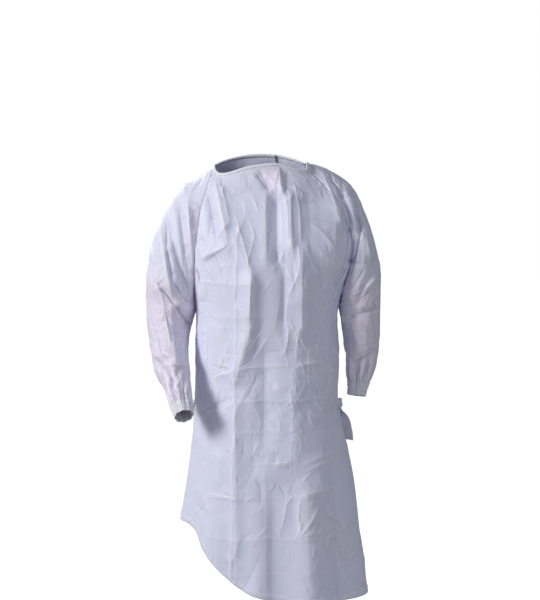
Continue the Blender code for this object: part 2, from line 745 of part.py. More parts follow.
def build_ties(grids, normals):
    """Two waist ties, sewn into the side seams and knotted behind the left hip, with two free ends."""
    middle, outward = round_the_back(grids, normals, WAIST)
    upper, lower = (round_the_back(grids, normals, WAIST + way * TIE_WIDTH / 2)[0] for way in (1, -1))
    marks = lengths(middle)
    half = KNOT_SIZE[0] / 2 + TRIM_GAP
    stretches = {
        "waist_tie_left": (0.001, KNOT_FROM_SEAM - half, -1),
        "waist_tie_right": (KNOT_FROM_SEAM + half, marks[-1] - 0.001, 0),
    }
    for name, (start, end, knot_end) in stretches.items():
        top, low, out = (cut_out(line, marks, start, end) for line in (upper, lower, outward))
        centre = (top[knot_end] + low[knot_end]) / 2
        top[knot_end] = mixed(centre, top[knot_end], TIE_NECKED)
        low[knot_end] = mixed(centre, low[knot_end], TIE_NECKED)
        band(name, top, low, unit(out), TIE_GAP)
    place = cut_out(middle, marks, KNOT_FROM_SEAM, KNOT_FROM_SEAM + half)[0]
    away = cut_out(outward, marks, KNOT_FROM_SEAM, KNOT_FROM_SEAM + half)[0]
    away = unit(away * (1, 1, 0))
    build_knot(place, away)
    build_free_ends(place, away)


def build_knot(place, away):
    """The knot: a small rounded lump that sits on the cloth between the ties."""
    bpy.ops.mesh.primitive_cube_add(size=1)
    knot = bpy.context.object
    knot.name = "tie_knot"
    for collection in list(knot.users_collection):
        collection.objects.unlink(knot)
    GOWN.objects.link(knot)
    knot.data.transform(Matrix.Diagonal((*KNOT_SIZE, 1)))
    away = Vector(away)
    frame = Matrix((away.cross(Vector((0, 0, 1))), away, Vector((0, 0, 1)))).transposed()
    knot.rotation_euler = frame.to_euler()
    knot.location = Vector(place) + away * (KNOT_GAP + KNOT_SIZE[1] / 2)
    rounding = knot.modifiers.new("rounding", "BEVEL")
    rounding.width = KNOT_ROUNDING
    rounding.segments = 3
    knot.data.materials.append(material(knot.name, TAPE))


def build_free_ends(place, away):
    """The two free ends that hang from the knot, one outside the hip and one behind it."""
    down = np.array([0, 0, -1.0])
    side = np.cross(away, down)
    for name, rows in FREE_ENDS.items():
        centres, spreads = [], []
        for drop, aside, out, turn, half in zip(*rows.values()):
            centres.append(place + down * drop + side * aside + away * out)
            turn = math.radians(turn)
            spreads.append((side * math.cos(turn) + away * math.sin(turn)) * half)
        centres, spreads = np.array(centres), np.array(spreads)
        outward = unit(np.cross(np.gradient(centres, axis=0), spreads))
        if (outward @ away).mean() < 0:
            outward, spreads = -outward, -spreads
        band(name, centres + spreads, centres - spreads, outward, 0)


def build_tab(grids, normals):
    """The neck tab, over the free edge of the left back, which it holds to the right back."""
    lines = [round_the_back(grids, normals, TAB_HEIGHT + way * TAB_WIDTH / 2) for way in (1, -1)]
    marks = lengths(lines[0][0])
    edge = marks[BACK_COLUMNS]
    upper, lower = (cut_out(line, marks, edge - TAB_REACH, edge + TAB_REACH) for line, _ in lines)
    outward = unit(cut_out(lines[0][1], marks, edge - TAB_REACH, edge + TAB_REACH))
    band("neck_tab", upper, lower, outward, TIE_GAP)


def material(name, look):
    """A piece's own material, with its colour and roughness."""
    made = bpy.data.materials.new(name)
    made.use_nodes = True
    shader = made.node_tree.nodes["Principled BSDF"]
    colour, roughness = look
    shader.inputs["Base Color"].default_value = colour
    shader.inputs["Roughness"].default_value = roughness
    shader.inputs["Metallic"].default_value = 0.0
    return made


for startup in list(bpy.data.objects):
    bpy.data.objects.remove(startup)
GOWN = bpy.data.collections.new("isolation_gown")
bpy.context.scene.collection.children.link(GOWN)


def main():
    grids, normals = build_panels()
    for side in ("right", "left"):
        build_cuff(side, grids[f"sleeve_{side}"])
    build_binding(grids, normals)
    build_ties(grids, normals)
    build_tab(grids, normals)


main()
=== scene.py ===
import math

import bmesh
import bpy
import numpy as np
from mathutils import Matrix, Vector


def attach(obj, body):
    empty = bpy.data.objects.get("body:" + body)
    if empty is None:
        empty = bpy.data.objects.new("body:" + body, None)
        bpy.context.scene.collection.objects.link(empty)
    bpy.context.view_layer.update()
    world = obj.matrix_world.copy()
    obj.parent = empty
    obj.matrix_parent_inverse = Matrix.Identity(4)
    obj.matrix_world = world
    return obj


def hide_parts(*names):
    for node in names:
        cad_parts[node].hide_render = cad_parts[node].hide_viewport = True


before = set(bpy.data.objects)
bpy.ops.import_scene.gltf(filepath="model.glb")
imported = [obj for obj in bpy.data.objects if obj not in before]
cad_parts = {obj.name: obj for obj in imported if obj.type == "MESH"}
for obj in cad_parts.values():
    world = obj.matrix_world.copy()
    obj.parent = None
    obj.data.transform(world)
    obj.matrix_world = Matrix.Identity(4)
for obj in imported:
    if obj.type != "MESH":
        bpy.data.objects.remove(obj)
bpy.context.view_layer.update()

# ---------------------------------------------------------------------------
# Sizes, in metres
# ---------------------------------------------------------------------------

MM = 0.001

# The body and the overlap of the two backs
SQUARENESS = 2.3
UNDERARM_MID = -0.328
UNDERARM_RISE_TO_LEFT = 0.007
BACK_OVERLAP = math.radians(15)
OVERLAP_LIFT = 0.0052
HEM_FLUTES = 9
HEM_FLUTE_DEPTH = 0.006
HEM_DEPTH = 0.014
CLOTH_THICKNESS = 0.0007

# The cuffs: their length, where their three rows of elastic are, and how small the elastic draws them
CUFF_LENGTH = 0.032
CUFF_THICKNESS = 0.0012
CUFF_RINGS = 18
CUFF_PULLS = (0.18, 0.5, 0.82)
CUFF_STITCHED = (0.1667, 0.5, 0.8333)
CUFF_TAPER = 0.10
CUFF_PINCH = 0.035
CUFF_GATHERS = 8
CUFF_GATHER_DEPTH = 0.0026

# The tapes: the ties with their knot, the tab and the binding
TAPE_THICKNESS = 0.0009
WAIST = -0.553
TIE_WIDTH = 0.026
TIE_GAP = 0.0009
TIE_FROM_SEAM = 0.001
TIE_AT_KNOT = 0.34
TIE_DRAWN_OVER = 0.028
KNOT_FROM_SEAM = 0.060
KNOT_SIZE = (0.017, 0.011, 0.024)
KNOT_GAP = 0.0020
KNOT_SINK = 0.0005
FREE_END_HIDDEN = 0.004
FREE_END_GATHERED = 0.03
TAB_HEIGHT = -0.013
TAB_WIDTH = 0.022
TAB_REACH = 0.034
TAB_GAP = 0.0021
BINDING_THICKNESS = 0.0006
BINDING_STEP = 0.0015
BINDING_STITCH = (0.0039, 0.00085)

# The stitches, and how far their middles stand off the cloth
STITCHES = {"Pitch": 0.0038, "Stitch length": 0.0027, "Thread": 0.00055}
STITCH_LIFT = 0.0003
CUFF_STITCH_LIFT = 0.0002

# The rows and columns of the cloth that the stitches beside its seams and its free edge follow
STITCHED_ROWS = slice(4, -3)
STITCHED_COLUMNS = (2, -3)
STITCHED_FREE_EDGE = -4

# The lines of creases are noted on the cloth's points in layers, as far to each side as this
LINE_LAYERS = 6
LINE_REACH = 0.010
LINE_LEAST = 0.02

# How finely the cloth is divided: rows above and below the underarm, and columns
YOKE_ROWS = 88
SKIRT_ROWS = 172
ARM_ROWS = 116
FRONT_COLUMNS = 185
BACK_COLUMNS = 120
LAP_COLUMNS = 34
SLEEVE_COLUMNS = 150
TIE_ROWS = 7
TIE_COLUMNS = {"left": 40, "right": 260}
KNOT_ROWS = 37
KNOT_COLUMNS = 72
FREE_END_ROWS = 64
FREE_END_COLUMNS = 9
TAB_ROWS = 9
TAB_COLUMNS = 60

# How many times a line on the cloth is evened out, point by point, before a tape follows it
NECK_SMOOTHING = 14
OUTWARD_SMOOTHING = 10
TIE_SMOOTHING = 40
TAB_SMOOTHING = 4

# The divisions of the solids, which say where their folds fade out: below the binding, over the last columns
# before a seam, and over the first rows below the underarm. From one of its columns on, the left back rises
# over the right one.
SOLID_FRONT_COLUMNS = 32
SOLID_BACK_COLUMNS = 14
SOLID_LAP_COLUMNS = 4
SOLID_SKIRT_ROWS = 15
SOLID_ARM_ROWS = 14
SOLID_SECOND_ROW = 0.1686
BOUND_SHARE = 0.03
FADE_COLUMNS = 3
FADE_ROWS = 2
LAP_RISES_FROM = 5

# Which part of the cloth a fold or crease is on, by how far its normal points to the front or the back
FOLDS_FACE = (-0.1, 0.35)
CREASES_FACE = (-0.05, 0.45)
ARM_BACK_FOLDS = 0.7

# How deep the creases of each table are made: on their own side, and those of the sleeves from behind
FRONT_GAIN = 1.25
BACK_GAIN = 1.3
ARM_BACK_GAIN = 0.8

# The crisp edge of a large fold: its steep and its gentle flank and its depth, as shares of the fold's, and
# how soft it is
EDGE_FLANKS = (0.4, 0.8)
EDGE_DEPTH = 0.33
EDGE_SOFTNESS = 0.06

# The neckline is evened out over this length, less and less towards the free edges and down the cloth
NECK_EVENED = 0.012
NECK_FREE_EDGE = (0.005, 0.035)
NECK_EASED = (0.004, 0.045)
NECKLINE_ORDER = ("back_right", "sleeve_right", "front", "sleeve_left", "back_left")

SIDES = {"right": -1, "left": 1}

# Folds of the pack: how far each fades out at its ends, how wide its line is, and the cloth that stands off
PACK_FADE = 0.012
LEVEL_FOLD_WIDTHS = (0.0035, 0.024)
UPRIGHT_FOLD_WIDTHS = (0.0032, 0.026)

# Crumples: how likely the smoothest cloth has them, which share is upright and which raised, and their form
CRUMPLES_LEAST = 0.25
CRUMPLES_UPRIGHT = 0.4
CRUMPLES_RAISED = 0.65
CRUMPLE_BEND = 0.12
CRUMPLE_SOFTNESS = 0.12

# Seams sink in and pucker beside their stitches, and so does the hem above its folded edge
SEAM_SINKS = 0.0005
SEAM_PUCKERS = 0.0006
HEM_LIFT = 0.0010
HEM_SINKS = 0.0008
HEM_PUCKERS = 0.0006
HEM_STITCHES_BELOW = 0.002
FREE_EDGE_LIFT = {"back_left": 0.0008, "back_right": 0.00024}

# How sharply the cloth bends, per metre, where a crease gets its full colour: the full painted shade in a
# hollow, and the full lighter ridge, partly whitened film and partly painted highlight
SHARPEST_BEND = 120


def table(columns, *rows):
    """A table of rows with named columns. Its first column is the one that the others are read against."""
    return dict(zip(columns.split(), np.array(rows, float).T))


# ---------------------------------------------------------------------------
# The gown's form, as its solids have it
# ---------------------------------------------------------------------------

# The body in plan at each height: its middle, half of its width, and its reach to the front and the back.
BODY = table(
    "height mid_x mid_y half_width front back",
    (0.060, -0.006, 0.010, 0.092, 0.060, 0.052),
    (0.000, -0.006, 0.010, 0.116, 0.080, 0.068),
    (-0.050, 0.004, 0.010, 0.158, 0.100, 0.090),
    (-0.100, 0.016, 0.010, 0.190, 0.121, 0.108),
    (-0.170, 0.023, 0.010, 0.203, 0.138, 0.118),
    (-0.230, 0.018, 0.010, 0.196, 0.143, 0.118),
    (-0.280, 0.010, 0.010, 0.177, 0.143, 0.115),
    (-0.330, 0.007, 0.010, 0.164, 0.141, 0.112),
    (-0.400, 0.007, 0.010, 0.164, 0.139, 0.108),
    (-0.480, 0.007, 0.010, 0.164, 0.139, 0.104),
    (-0.553, 0.007, 0.010, 0.165, 0.142, 0.104),
    (-0.630, 0.012, 0.010, 0.177, 0.147, 0.117),
    (-0.720, 0.016, 0.010, 0.192, 0.153, 0.132),
    (-0.820, 0.015, 0.010, 0.205, 0.160, 0.145),
    (-0.900, 0.017, 0.010, 0.213, 0.165, 0.152),
    (-1.000, 0.021, 0.010, 0.221, 0.171, 0.158),
)

# The raglan seams, by the share of the way from the neckline to the underarm: degrees from front or back.
RAGLAN = table(
    "share front back",
    (0.00, 57.0, 58.0),
    (0.12, 53.0, 54.0),
    (0.30, 54.0, 54.0),
    (0.50, 57.0, 57.0),
    (0.70, 63.0, 63.0),
    (0.88, 76.0, 76.0),
    (1.00, 90.0, 90.0),
)

# The side seams, by their share of the way from the underarm to the hem: degrees from the front.
SIDE_SEAM = table(
    "share right left",
    (0.00, 90.0, 90.0),
    (0.15, 88.0, 85.0),
    (0.40, 84.0, 78.0),
    (0.70, 80.0, 74.0),
    (1.00, 77.0, 72.0),
)

# The neckline. The front is read from the right raglan seam (-1) to the left one (1), and the back from a
# raglan seam (0) to the centre back (1).
NECK_FRONT = table(
    "share height",
    (-1.00, -0.0120),
    (-0.86, -0.0215),
    (-0.68, -0.0255),
    (-0.48, -0.0205),
    (-0.24, -0.0105),
    (0.00, -0.0050),
    (0.26, -0.0020),
    (0.40, -0.0080),
    (0.62, -0.0150),
    (0.84, -0.0180),
    (1.00, -0.0060),
)
NECK_BACK = table(
    "share height",
    (0.00, 0.0060),
    (0.30, 0.0150),
    (0.65, 0.0230),
    (1.00, 0.0260),
)

# The hem, by degrees round the body: 0 is the front, 90 the left, and -90 the right, where it hangs higher.
HEM = table(
    "angle height",
    (-180.0, -0.950),
    (-165.0, -0.940),
    (-146.0, -0.900),
    (-132.0, -0.862),
    (-118.0, -0.834),
    (-100.0, -0.820),
    (-80.0, -0.816),
    (-62.0, -0.820),
    (-52.0, -0.834),
    (-45.0, -0.862),
    (-38.0, -0.886),
    (-28.0, -0.918),
    (-14.0, -0.955),
    (4.0, -0.978),
    (45.0, -0.982),
    (95.0, -0.975),
    (150.0, -0.960),
    (180.0, -0.950),
)

# The sleeves. Their outer line runs from the neck (share 0), past the underarm (1), to the cuff (2). The cut
# is where the ring is opened for the body, in degrees from its inner side. The lean turns the ring's front
# side upwards.
SLEEVE = {
    "right": table(
        "share outer_x outer_z mid_y front back cut lean",
        (0.00, -0.112, -0.001, 0.012, 0.058, 0.050, 118.0, 0.0),
        (0.20, -0.152, -0.031, 0.012, 0.072, 0.066, 104.0, 0.0),
        (0.40, -0.196, -0.059, 0.014, 0.084, 0.078, 86.0, 0.0),
        (0.60, -0.234, -0.117, 0.015, 0.088, 0.084, 64.0, 0.0),
        (0.80, -0.258, -0.188, 0.013, 0.086, 0.084, 38.0, 0.0),
        (1.00, -0.270, -0.252, 0.010, 0.080, 0.080, 0.0, 0.0),
        (1.20, -0.270, -0.325, 0.004, 0.070, 0.072, 0.0, 8.0),
        (1.40, -0.264, -0.392, -0.020, 0.059, 0.063, 0.0, 24.0),
        (1.60, -0.249, -0.455, -0.062, 0.051, 0.055, 0.0, 36.0),
        (1.80, -0.226, -0.503, -0.102, 0.043, 0.045, 0.0, 38.0),
        (2.00, -0.207, -0.545, -0.134, 0.028, 0.028, 0.0, 38.0),
    ),
    "left": table(
        "share outer_x outer_z mid_y front back cut lean",
        (0.00, 0.098, 0.004, 0.012, 0.058, 0.050, 118.0, 0.0),
        (0.20, 0.147, -0.012, 0.012, 0.072, 0.066, 104.0, 0.0),
        (0.40, 0.200, -0.048, 0.014, 0.084, 0.078, 86.0, 0.0),
        (0.60, 0.231, -0.107, 0.015, 0.088, 0.084, 64.0, 0.0),
        (0.80, 0.255, -0.175, 0.013, 0.086, 0.084, 38.0, 0.0),
        (1.00, 0.268, -0.245, 0.010, 0.080, 0.080, 0.0, 0.0),
        (1.20, 0.268, -0.312, 0.008, 0.070, 0.070, 0.0, -3.0),
        (1.40, 0.268, -0.375, 0.012, 0.060, 0.060, 0.0, -2.0),
        (1.60, 0.265, -0.425, 0.014, 0.052, 0.052, 0.0, 3.0),
        (1.80, 0.257, -0.466, 0.010, 0.041, 0.041, 0.0, 8.0),
        (2.00, 0.242, -0.504, 0.004, 0.028, 0.028, 0.0, 8.0),
    ),
}
SLEEVE_INNER = {
    "right": table(
        "share inner_x inner_z",
        (1.00, -0.157, -0.335),
        (1.20, -0.171, -0.382),
        (1.40, -0.173, -0.425),
        (1.60, -0.168, -0.467),
        (1.80, -0.165, -0.505),
        (2.00, -0.160, -0.536),
    ),
    "left": table(
        "share inner_x inner_z",
        (1.00, 0.171, -0.321),
        (1.20, 0.178, -0.358),
        (1.40, 0.182, -0.397),
        (1.60, 0.188, -0.436),
        (1.80, 0.193, -0.470),
        (2.00, 0.196, -0.498),
    ),
}

# The largest folds. Each runs between two places seen from the front or back. A depth above 0 is a ridge.
FOLD_COLUMNS = "x_top z_top x_low z_low width depth"
FRONT_FOLDS = table(
    FOLD_COLUMNS,
    (0.034, 0.006, 0.040, -0.085, 0.014, 0.0080),
    (-0.016, -0.008, 0.014, -0.062, 0.012, -0.0055),
    (0.004, -0.060, 0.006, -0.240, 0.018, 0.0040),
    (0.028, -0.055, 0.030, -0.250, 0.016, -0.0075),
    (0.060, -0.060, 0.062, -0.215, 0.018, 0.0065),
    (0.046, -0.170, 0.044, -0.390, 0.020, -0.0060),
    (0.086, -0.180, 0.084, -0.400, 0.022, 0.0070),
    (-0.112, -0.030, -0.078, -0.185, 0.018, 0.0080),
    (-0.128, -0.060, -0.106, -0.180, 0.016, -0.0070),
    (-0.140, -0.215, -0.076, -0.186, 0.014, 0.0050),
    (-0.028, -0.240, -0.032, -0.400, 0.024, 0.0090),
    (-0.036, -0.380, -0.064, -0.500, 0.024, 0.0080),
    (-0.064, -0.470, -0.060, -0.960, 0.026, 0.0058),
    (0.002, -0.400, 0.000, -0.640, 0.032, -0.0060),
    (0.068, -0.430, 0.070, -0.700, 0.030, 0.0036),
    (0.020, -0.700, 0.018, -1.000, 0.034, -0.0042),
    (0.096, -0.700, 0.102, -1.000, 0.034, 0.0044),
    (0.158, -0.020, 0.176, -0.150, 0.014, 0.0080),
    (0.150, -0.560, 0.166, -1.000, 0.026, -0.0042),
)
BACK_FOLDS = table(
    FOLD_COLUMNS,
    (-0.090, 0.000, -0.030, -0.240, 0.020, 0.0060),
    (0.084, -0.010, 0.040, -0.260, 0.020, 0.0060),
    (-0.130, -0.120, -0.110, -0.520, 0.022, -0.0070),
    (-0.060, -0.180, -0.062, -0.530, 0.020, 0.0070),
    (0.012, -0.200, 0.010, -0.530, 0.020, -0.0060),
    (0.074, -0.160, 0.070, -0.530, 0.020, 0.0075),
    (0.130, -0.150, 0.116, -0.520, 0.020, -0.0070),
    (-0.125, -0.575, -0.150, -0.960, 0.024, 0.0090),
    (-0.075, -0.575, -0.084, -0.980, 0.024, -0.0095),
    (-0.030, -0.575, -0.030, -0.980, 0.024, 0.0095),
    (0.045, -0.575, 0.052, -0.980, 0.024, -0.0090),
    (0.090, -0.575, 0.110, -0.980, 0.024, 0.0100),
    (0.135, -0.575, 0.166, -0.980, 0.024, -0.0090),
)
SLEEVE_FOLDS = {
    "right": table(
        FOLD_COLUMNS,
        (-0.226, -0.110, -0.164, -0.318, 0.013, -0.0085),
        (-0.236, -0.140, -0.206, -0.310, 0.016, 0.0060),
        (-0.194, -0.090, -0.166, -0.285, 0.012, -0.0060),
        (-0.172, -0.080, -0.158, -0.250, 0.012, 0.0070),
        (-0.262, -0.256, -0.176, -0.358, 0.015, 0.0025),
        (-0.250, -0.300, -0.190, -0.400, 0.015, -0.0020),
        (-0.214, -0.340, -0.194, -0.460, 0.014, 0.0035),
        (-0.250, -0.440, -0.184, -0.500, 0.012, -0.0055),
        (-0.236, -0.420, -0.176, -0.452, 0.012, 0.0050),
    ),
    "left": table(
        FOLD_COLUMNS,
        (0.176, -0.040, 0.198, -0.200, 0.012, -0.0040),
        (0.196, -0.060, 0.214, -0.180, 0.012, 0.0015),
        (0.216, -0.080, 0.218, -0.230, 0.014, -0.0030),
        (0.240, -0.130, 0.226, -0.290, 0.016, 0.0010),
        (0.262, -0.200, 0.200, -0.345, 0.014, -0.0065),
        (0.256, -0.250, 0.204, -0.330, 0.014, 0.0030),
        (0.264, -0.326, 0.186, -0.352, 0.012, -0.0060),
        (0.236, -0.340, 0.228, -0.440, 0.016, 0.0020),
        (0.262, -0.420, 0.204, -0.456, 0.012, -0.0055),
    ),
}

# The free ends of the ties below the knot: the drop of each row, its place aside (to the back) and away
# from the cloth, how far its width is turned outwards, and half of its width.
FREE_ENDS = {
    "tie_end_outer": table(
        "drop aside out turn half_width",
        (0.0126, -0.003, 0.007, 0.0, 0.006),
        (0.024, -0.006, 0.013, -20.0, 0.011),
        (0.040, -0.008, 0.019, -30.0, 0.013),
        (0.062, -0.008, 0.025, -30.0, 0.013),
        (0.086, -0.007, 0.030, -25.0, 0.013),
    ),
    "tie_end_inner": table(
        "drop aside out turn half_width",
        (0.0126, 0.006, 0.004, 0.0, 0.0055),
        (0.030, 0.018, 0.010, 0.0, 0.011),
        (0.060, 0.026, 0.017, 0.0, 0.013),
        (0.095, 0.030, 0.025, 0.0, 0.013),
        (0.135, 0.032, 0.033, 0.0, 0.013),
        (0.180, 0.033, 0.041, 0.0, 0.013),
    ),
}

# The binding's section, in millimetres: how far down from the neckline's edge, and how far out from the cloth
BINDING_SECTION = table(
    "down out",
    (5.3, 0.30),
    (5.0, 0.75),
    (4.0, 0.70),
    (3.0, 0.95),
    (1.6, 1.05),
    (0.2, 1.00),
    (-0.6, 0.65),
    (-0.9, -0.30),
    (-0.6, -1.20),
    (0.2, -1.55),
    (1.6, -1.65),
    (5.0, -1.45),
)

# Creases scattered over the whole gown: how many, their length, the width of a flank, and their depth
CRUMPLES = table(
    "seed count length width depth",
    (11, 150, 0.110, 0.0150, 0.0019),
    (17, 420, 0.062, 0.0080, 0.0012),
    (23, 1500, 0.032, 0.0046, 0.00065),
    (29, 3200, 0.017, 0.0026, 0.00030),
)

# ---------------------------------------------------------------------------
# Creases: each runs between two places, with the widths of its two flanks, in millimetres.
# A depth above 0 is a ridge. A sharp one has a small last number.
# ---------------------------------------------------------------------------

CREASE_COLUMNS = "x_top z_top x_low z_low bend left right depth soft"
FRONT_CREASES = table(
    CREASE_COLUMNS,
    (36, -10, 22, -61, 0, 20, 7, 4.4, 0.08),
    (-18, -24, 12, -62, 0, 6, 16, -3.2, 0.08),
    (18, -59, 9, -223, 4, 16, 11, -3.6, 0.40),
    (38, -68, 42, -179, 2, 7, 7, -1.8, 0.20),
    (48, -70, 54, -174, 3, 9, 8, 3.0, 0.10),
    (64, -84, 67, -166, 0, 7, 7, -1.6, 0.12),
    (76, -60, 81, -181, 2, 9, 8, 2.6, 0.10),
    (100, -68, 107, -174, 0, 13, 16, -2.0, 0.40),
    (39, -52, 47, -88, 1, 5, 4, 1.4, 0.10),
    (53, -63, 63, -84, 0, 4, 5, 1.5, 0.10),
    (68, -49, 75, -92, 1, 5, 4, 1.4, 0.10),
    (88, -68, 84, -83, 0, 4, 4, 1.1, 0.10),
    (56, -88, 66, -70, 0, 4, 4, 1.2, 0.10),
    (44, -96, 58, -78, 0, 4, 4, 1.2, 0.10),
    (38, -88, 53, -95, 0, 4, 4, 1.1, 0.10),
    (51, -170, 18, -245, 7, 7, 9, 1.8, 0.12),
    (60, -174, 51, -219, 0, 7, 7, 1.5, 0.12),
    (76, -188, 80, -243, 2, 7, 9, 2.4, 0.10),
    (80, -243, 56, -299, 0, 9, 7, 2.2, 0.10),
    (56, -299, 49, -374, -2, 11, 9, 2.0, 0.15),
    (91, -181, 127, -256, -4, 9, 7, 1.6, 0.15),
    (27, -197, 42, -254, 0, 7, 7, -1.4, 0.15),
    (62, -223, 71, -285, 0, 7, 7, -1.5, 0.15),
    (93, -223, 87, -285, 0, 9, 7, -1.6, 0.20),
    (42, -223, 62, -263, 0, 6, 6, 1.3, 0.10),
    (87, -261, 102, -285, 0, 6, 6, 1.2, 0.10),
    (120, -223, 138, -307, 0, 13, 13, -1.8, 0.30),
    (-101, -37, -76, -143, 2, 13, 9, 3.0, 0.20),
    (-76, -135, -134, -217, -2, 13, 7, 2.6, 0.12),
    (-72, -183, -130, -223, 0, 4, 11, -1.6, 0.20),
    (-70, -163, -25, -263, 0, 13, 18, 2.6, 0.20),
    (-56, -86, -12, -223, 4, 22, 18, -2.0, 0.50),
    (-64, -120, -24, -262, 2, 16, 9, 3.0, 0.08),
    (-114, -108, -127, -188, 0, 9, 9, -2.0, 0.30),
    (-27, -252, -32, -356, 0, 26, 8, 3.8, 0.08),
    (-23, -347, -48, -449, 0, 11, 16, 2.2, 0.20),
    (-3, -352, -25, -445, 0, 11, 11, -2.4, 0.30),
    (-1, -376, -36, -421, 0, 4, 7, 1.6, 0.10),
    (9, -392, -21, -440, 0, 4, 7, 1.2, 0.10),
    (133, -24, 164, -117, 2, 13, 9, 3.6, 0.15),
    (147, -19, 178, -99, 4, 7, 7, -2.4, 0.20),
    (164, -108, 155, -245, 0, 13, 11, 2.2, 0.30),
    (120, -41, 129, -197, 0, 18, 18, -1.8, 0.50),
    (53, -361, 40, -436, 7, 7, 7, 1.8, 0.12),
    (78, -367, 104, -429, -7, 7, 7, 1.7, 0.12),
    (76, -383, 73, -449, -2, 6, 6, 1.3, 0.12),
    (102, -307, 124, -418, 0, 18, 18, -2.2, 0.50),
    (138, -285, 147, -507, 0, 16, 13, 2.2, 0.40),
    (-116, -487, -56, -463, 3, 7, 4, 1.8, 0.12),
    (-56, -463, 0, -458, 2, 7, 4, 1.6, 0.12),
    (0, -456, 51, -454, 0, 4, 4, 1.0, 0.12),
    (71, -456, 127, -447, 0, 7, 4, 1.5, 0.12),
    (127, -447, 160, -472, 0, 7, 7, 1.0, 0.20),
    (-114, -560, -65, -534, -4, 7, 4, 1.5, 0.12),
    (-3, -467, 22, -507, 0, 13, 11, -1.8, 0.30),
    (115, -538, 133, -560, 0, 6, 6, 1.2, 0.10),
    (138, -534, 120, -574, 0, 6, 6, 1.2, 0.10),
    (102, -556, 124, -576, 0, 4, 4, 0.9, 0.10),
    (93, -691, 173, -660, 2, 7, 9, 1.8, 0.15),
    (84, -676, 171, -647, 2, 7, 7, 1.5, 0.15),
    (22, -671, 60, -669, 0, 7, 4, 1.6, 0.12),
    (27, -647, 25, -673, 0, 7, 4, -1.2, 0.15),
    (76, -744, 162, -724, -2, 9, 7, 1.8, 0.15),
    (51, -749, 36, -824, 3, 7, 7, 1.8, 0.12),
    (64, -744, 51, -760, 0, 4, 4, 1.0, 0.10),
    (84, -746, 84, -831, -7, 7, 7, 1.7, 0.12),
    (122, -766, 80, -833, 4, 7, 7, 2.2, 0.10),
    (76, -835, 180, -811, 0, 7, 7, 1.4, 0.15),
    (115, -855, 169, -824, 0, 7, 7, 1.2, 0.15),
    (-150, -724, -121, -786, 0, 9, 9, 1.6, 0.20),
    (-114, -720, -83, -795, 0, 13, 11, -1.6, 0.40),
    (-123, -742, -59, -751, 0, 7, 4, 1.4, 0.12),
    (-3, -596, -17, -751, 0, 22, 20, -2.0, 0.50),
    (58, -684, 71, -840, 0, 20, 18, -2.4, 0.50),
    (147, -596, 164, -795, 0, 16, 13, 2.2, 0.40),
)
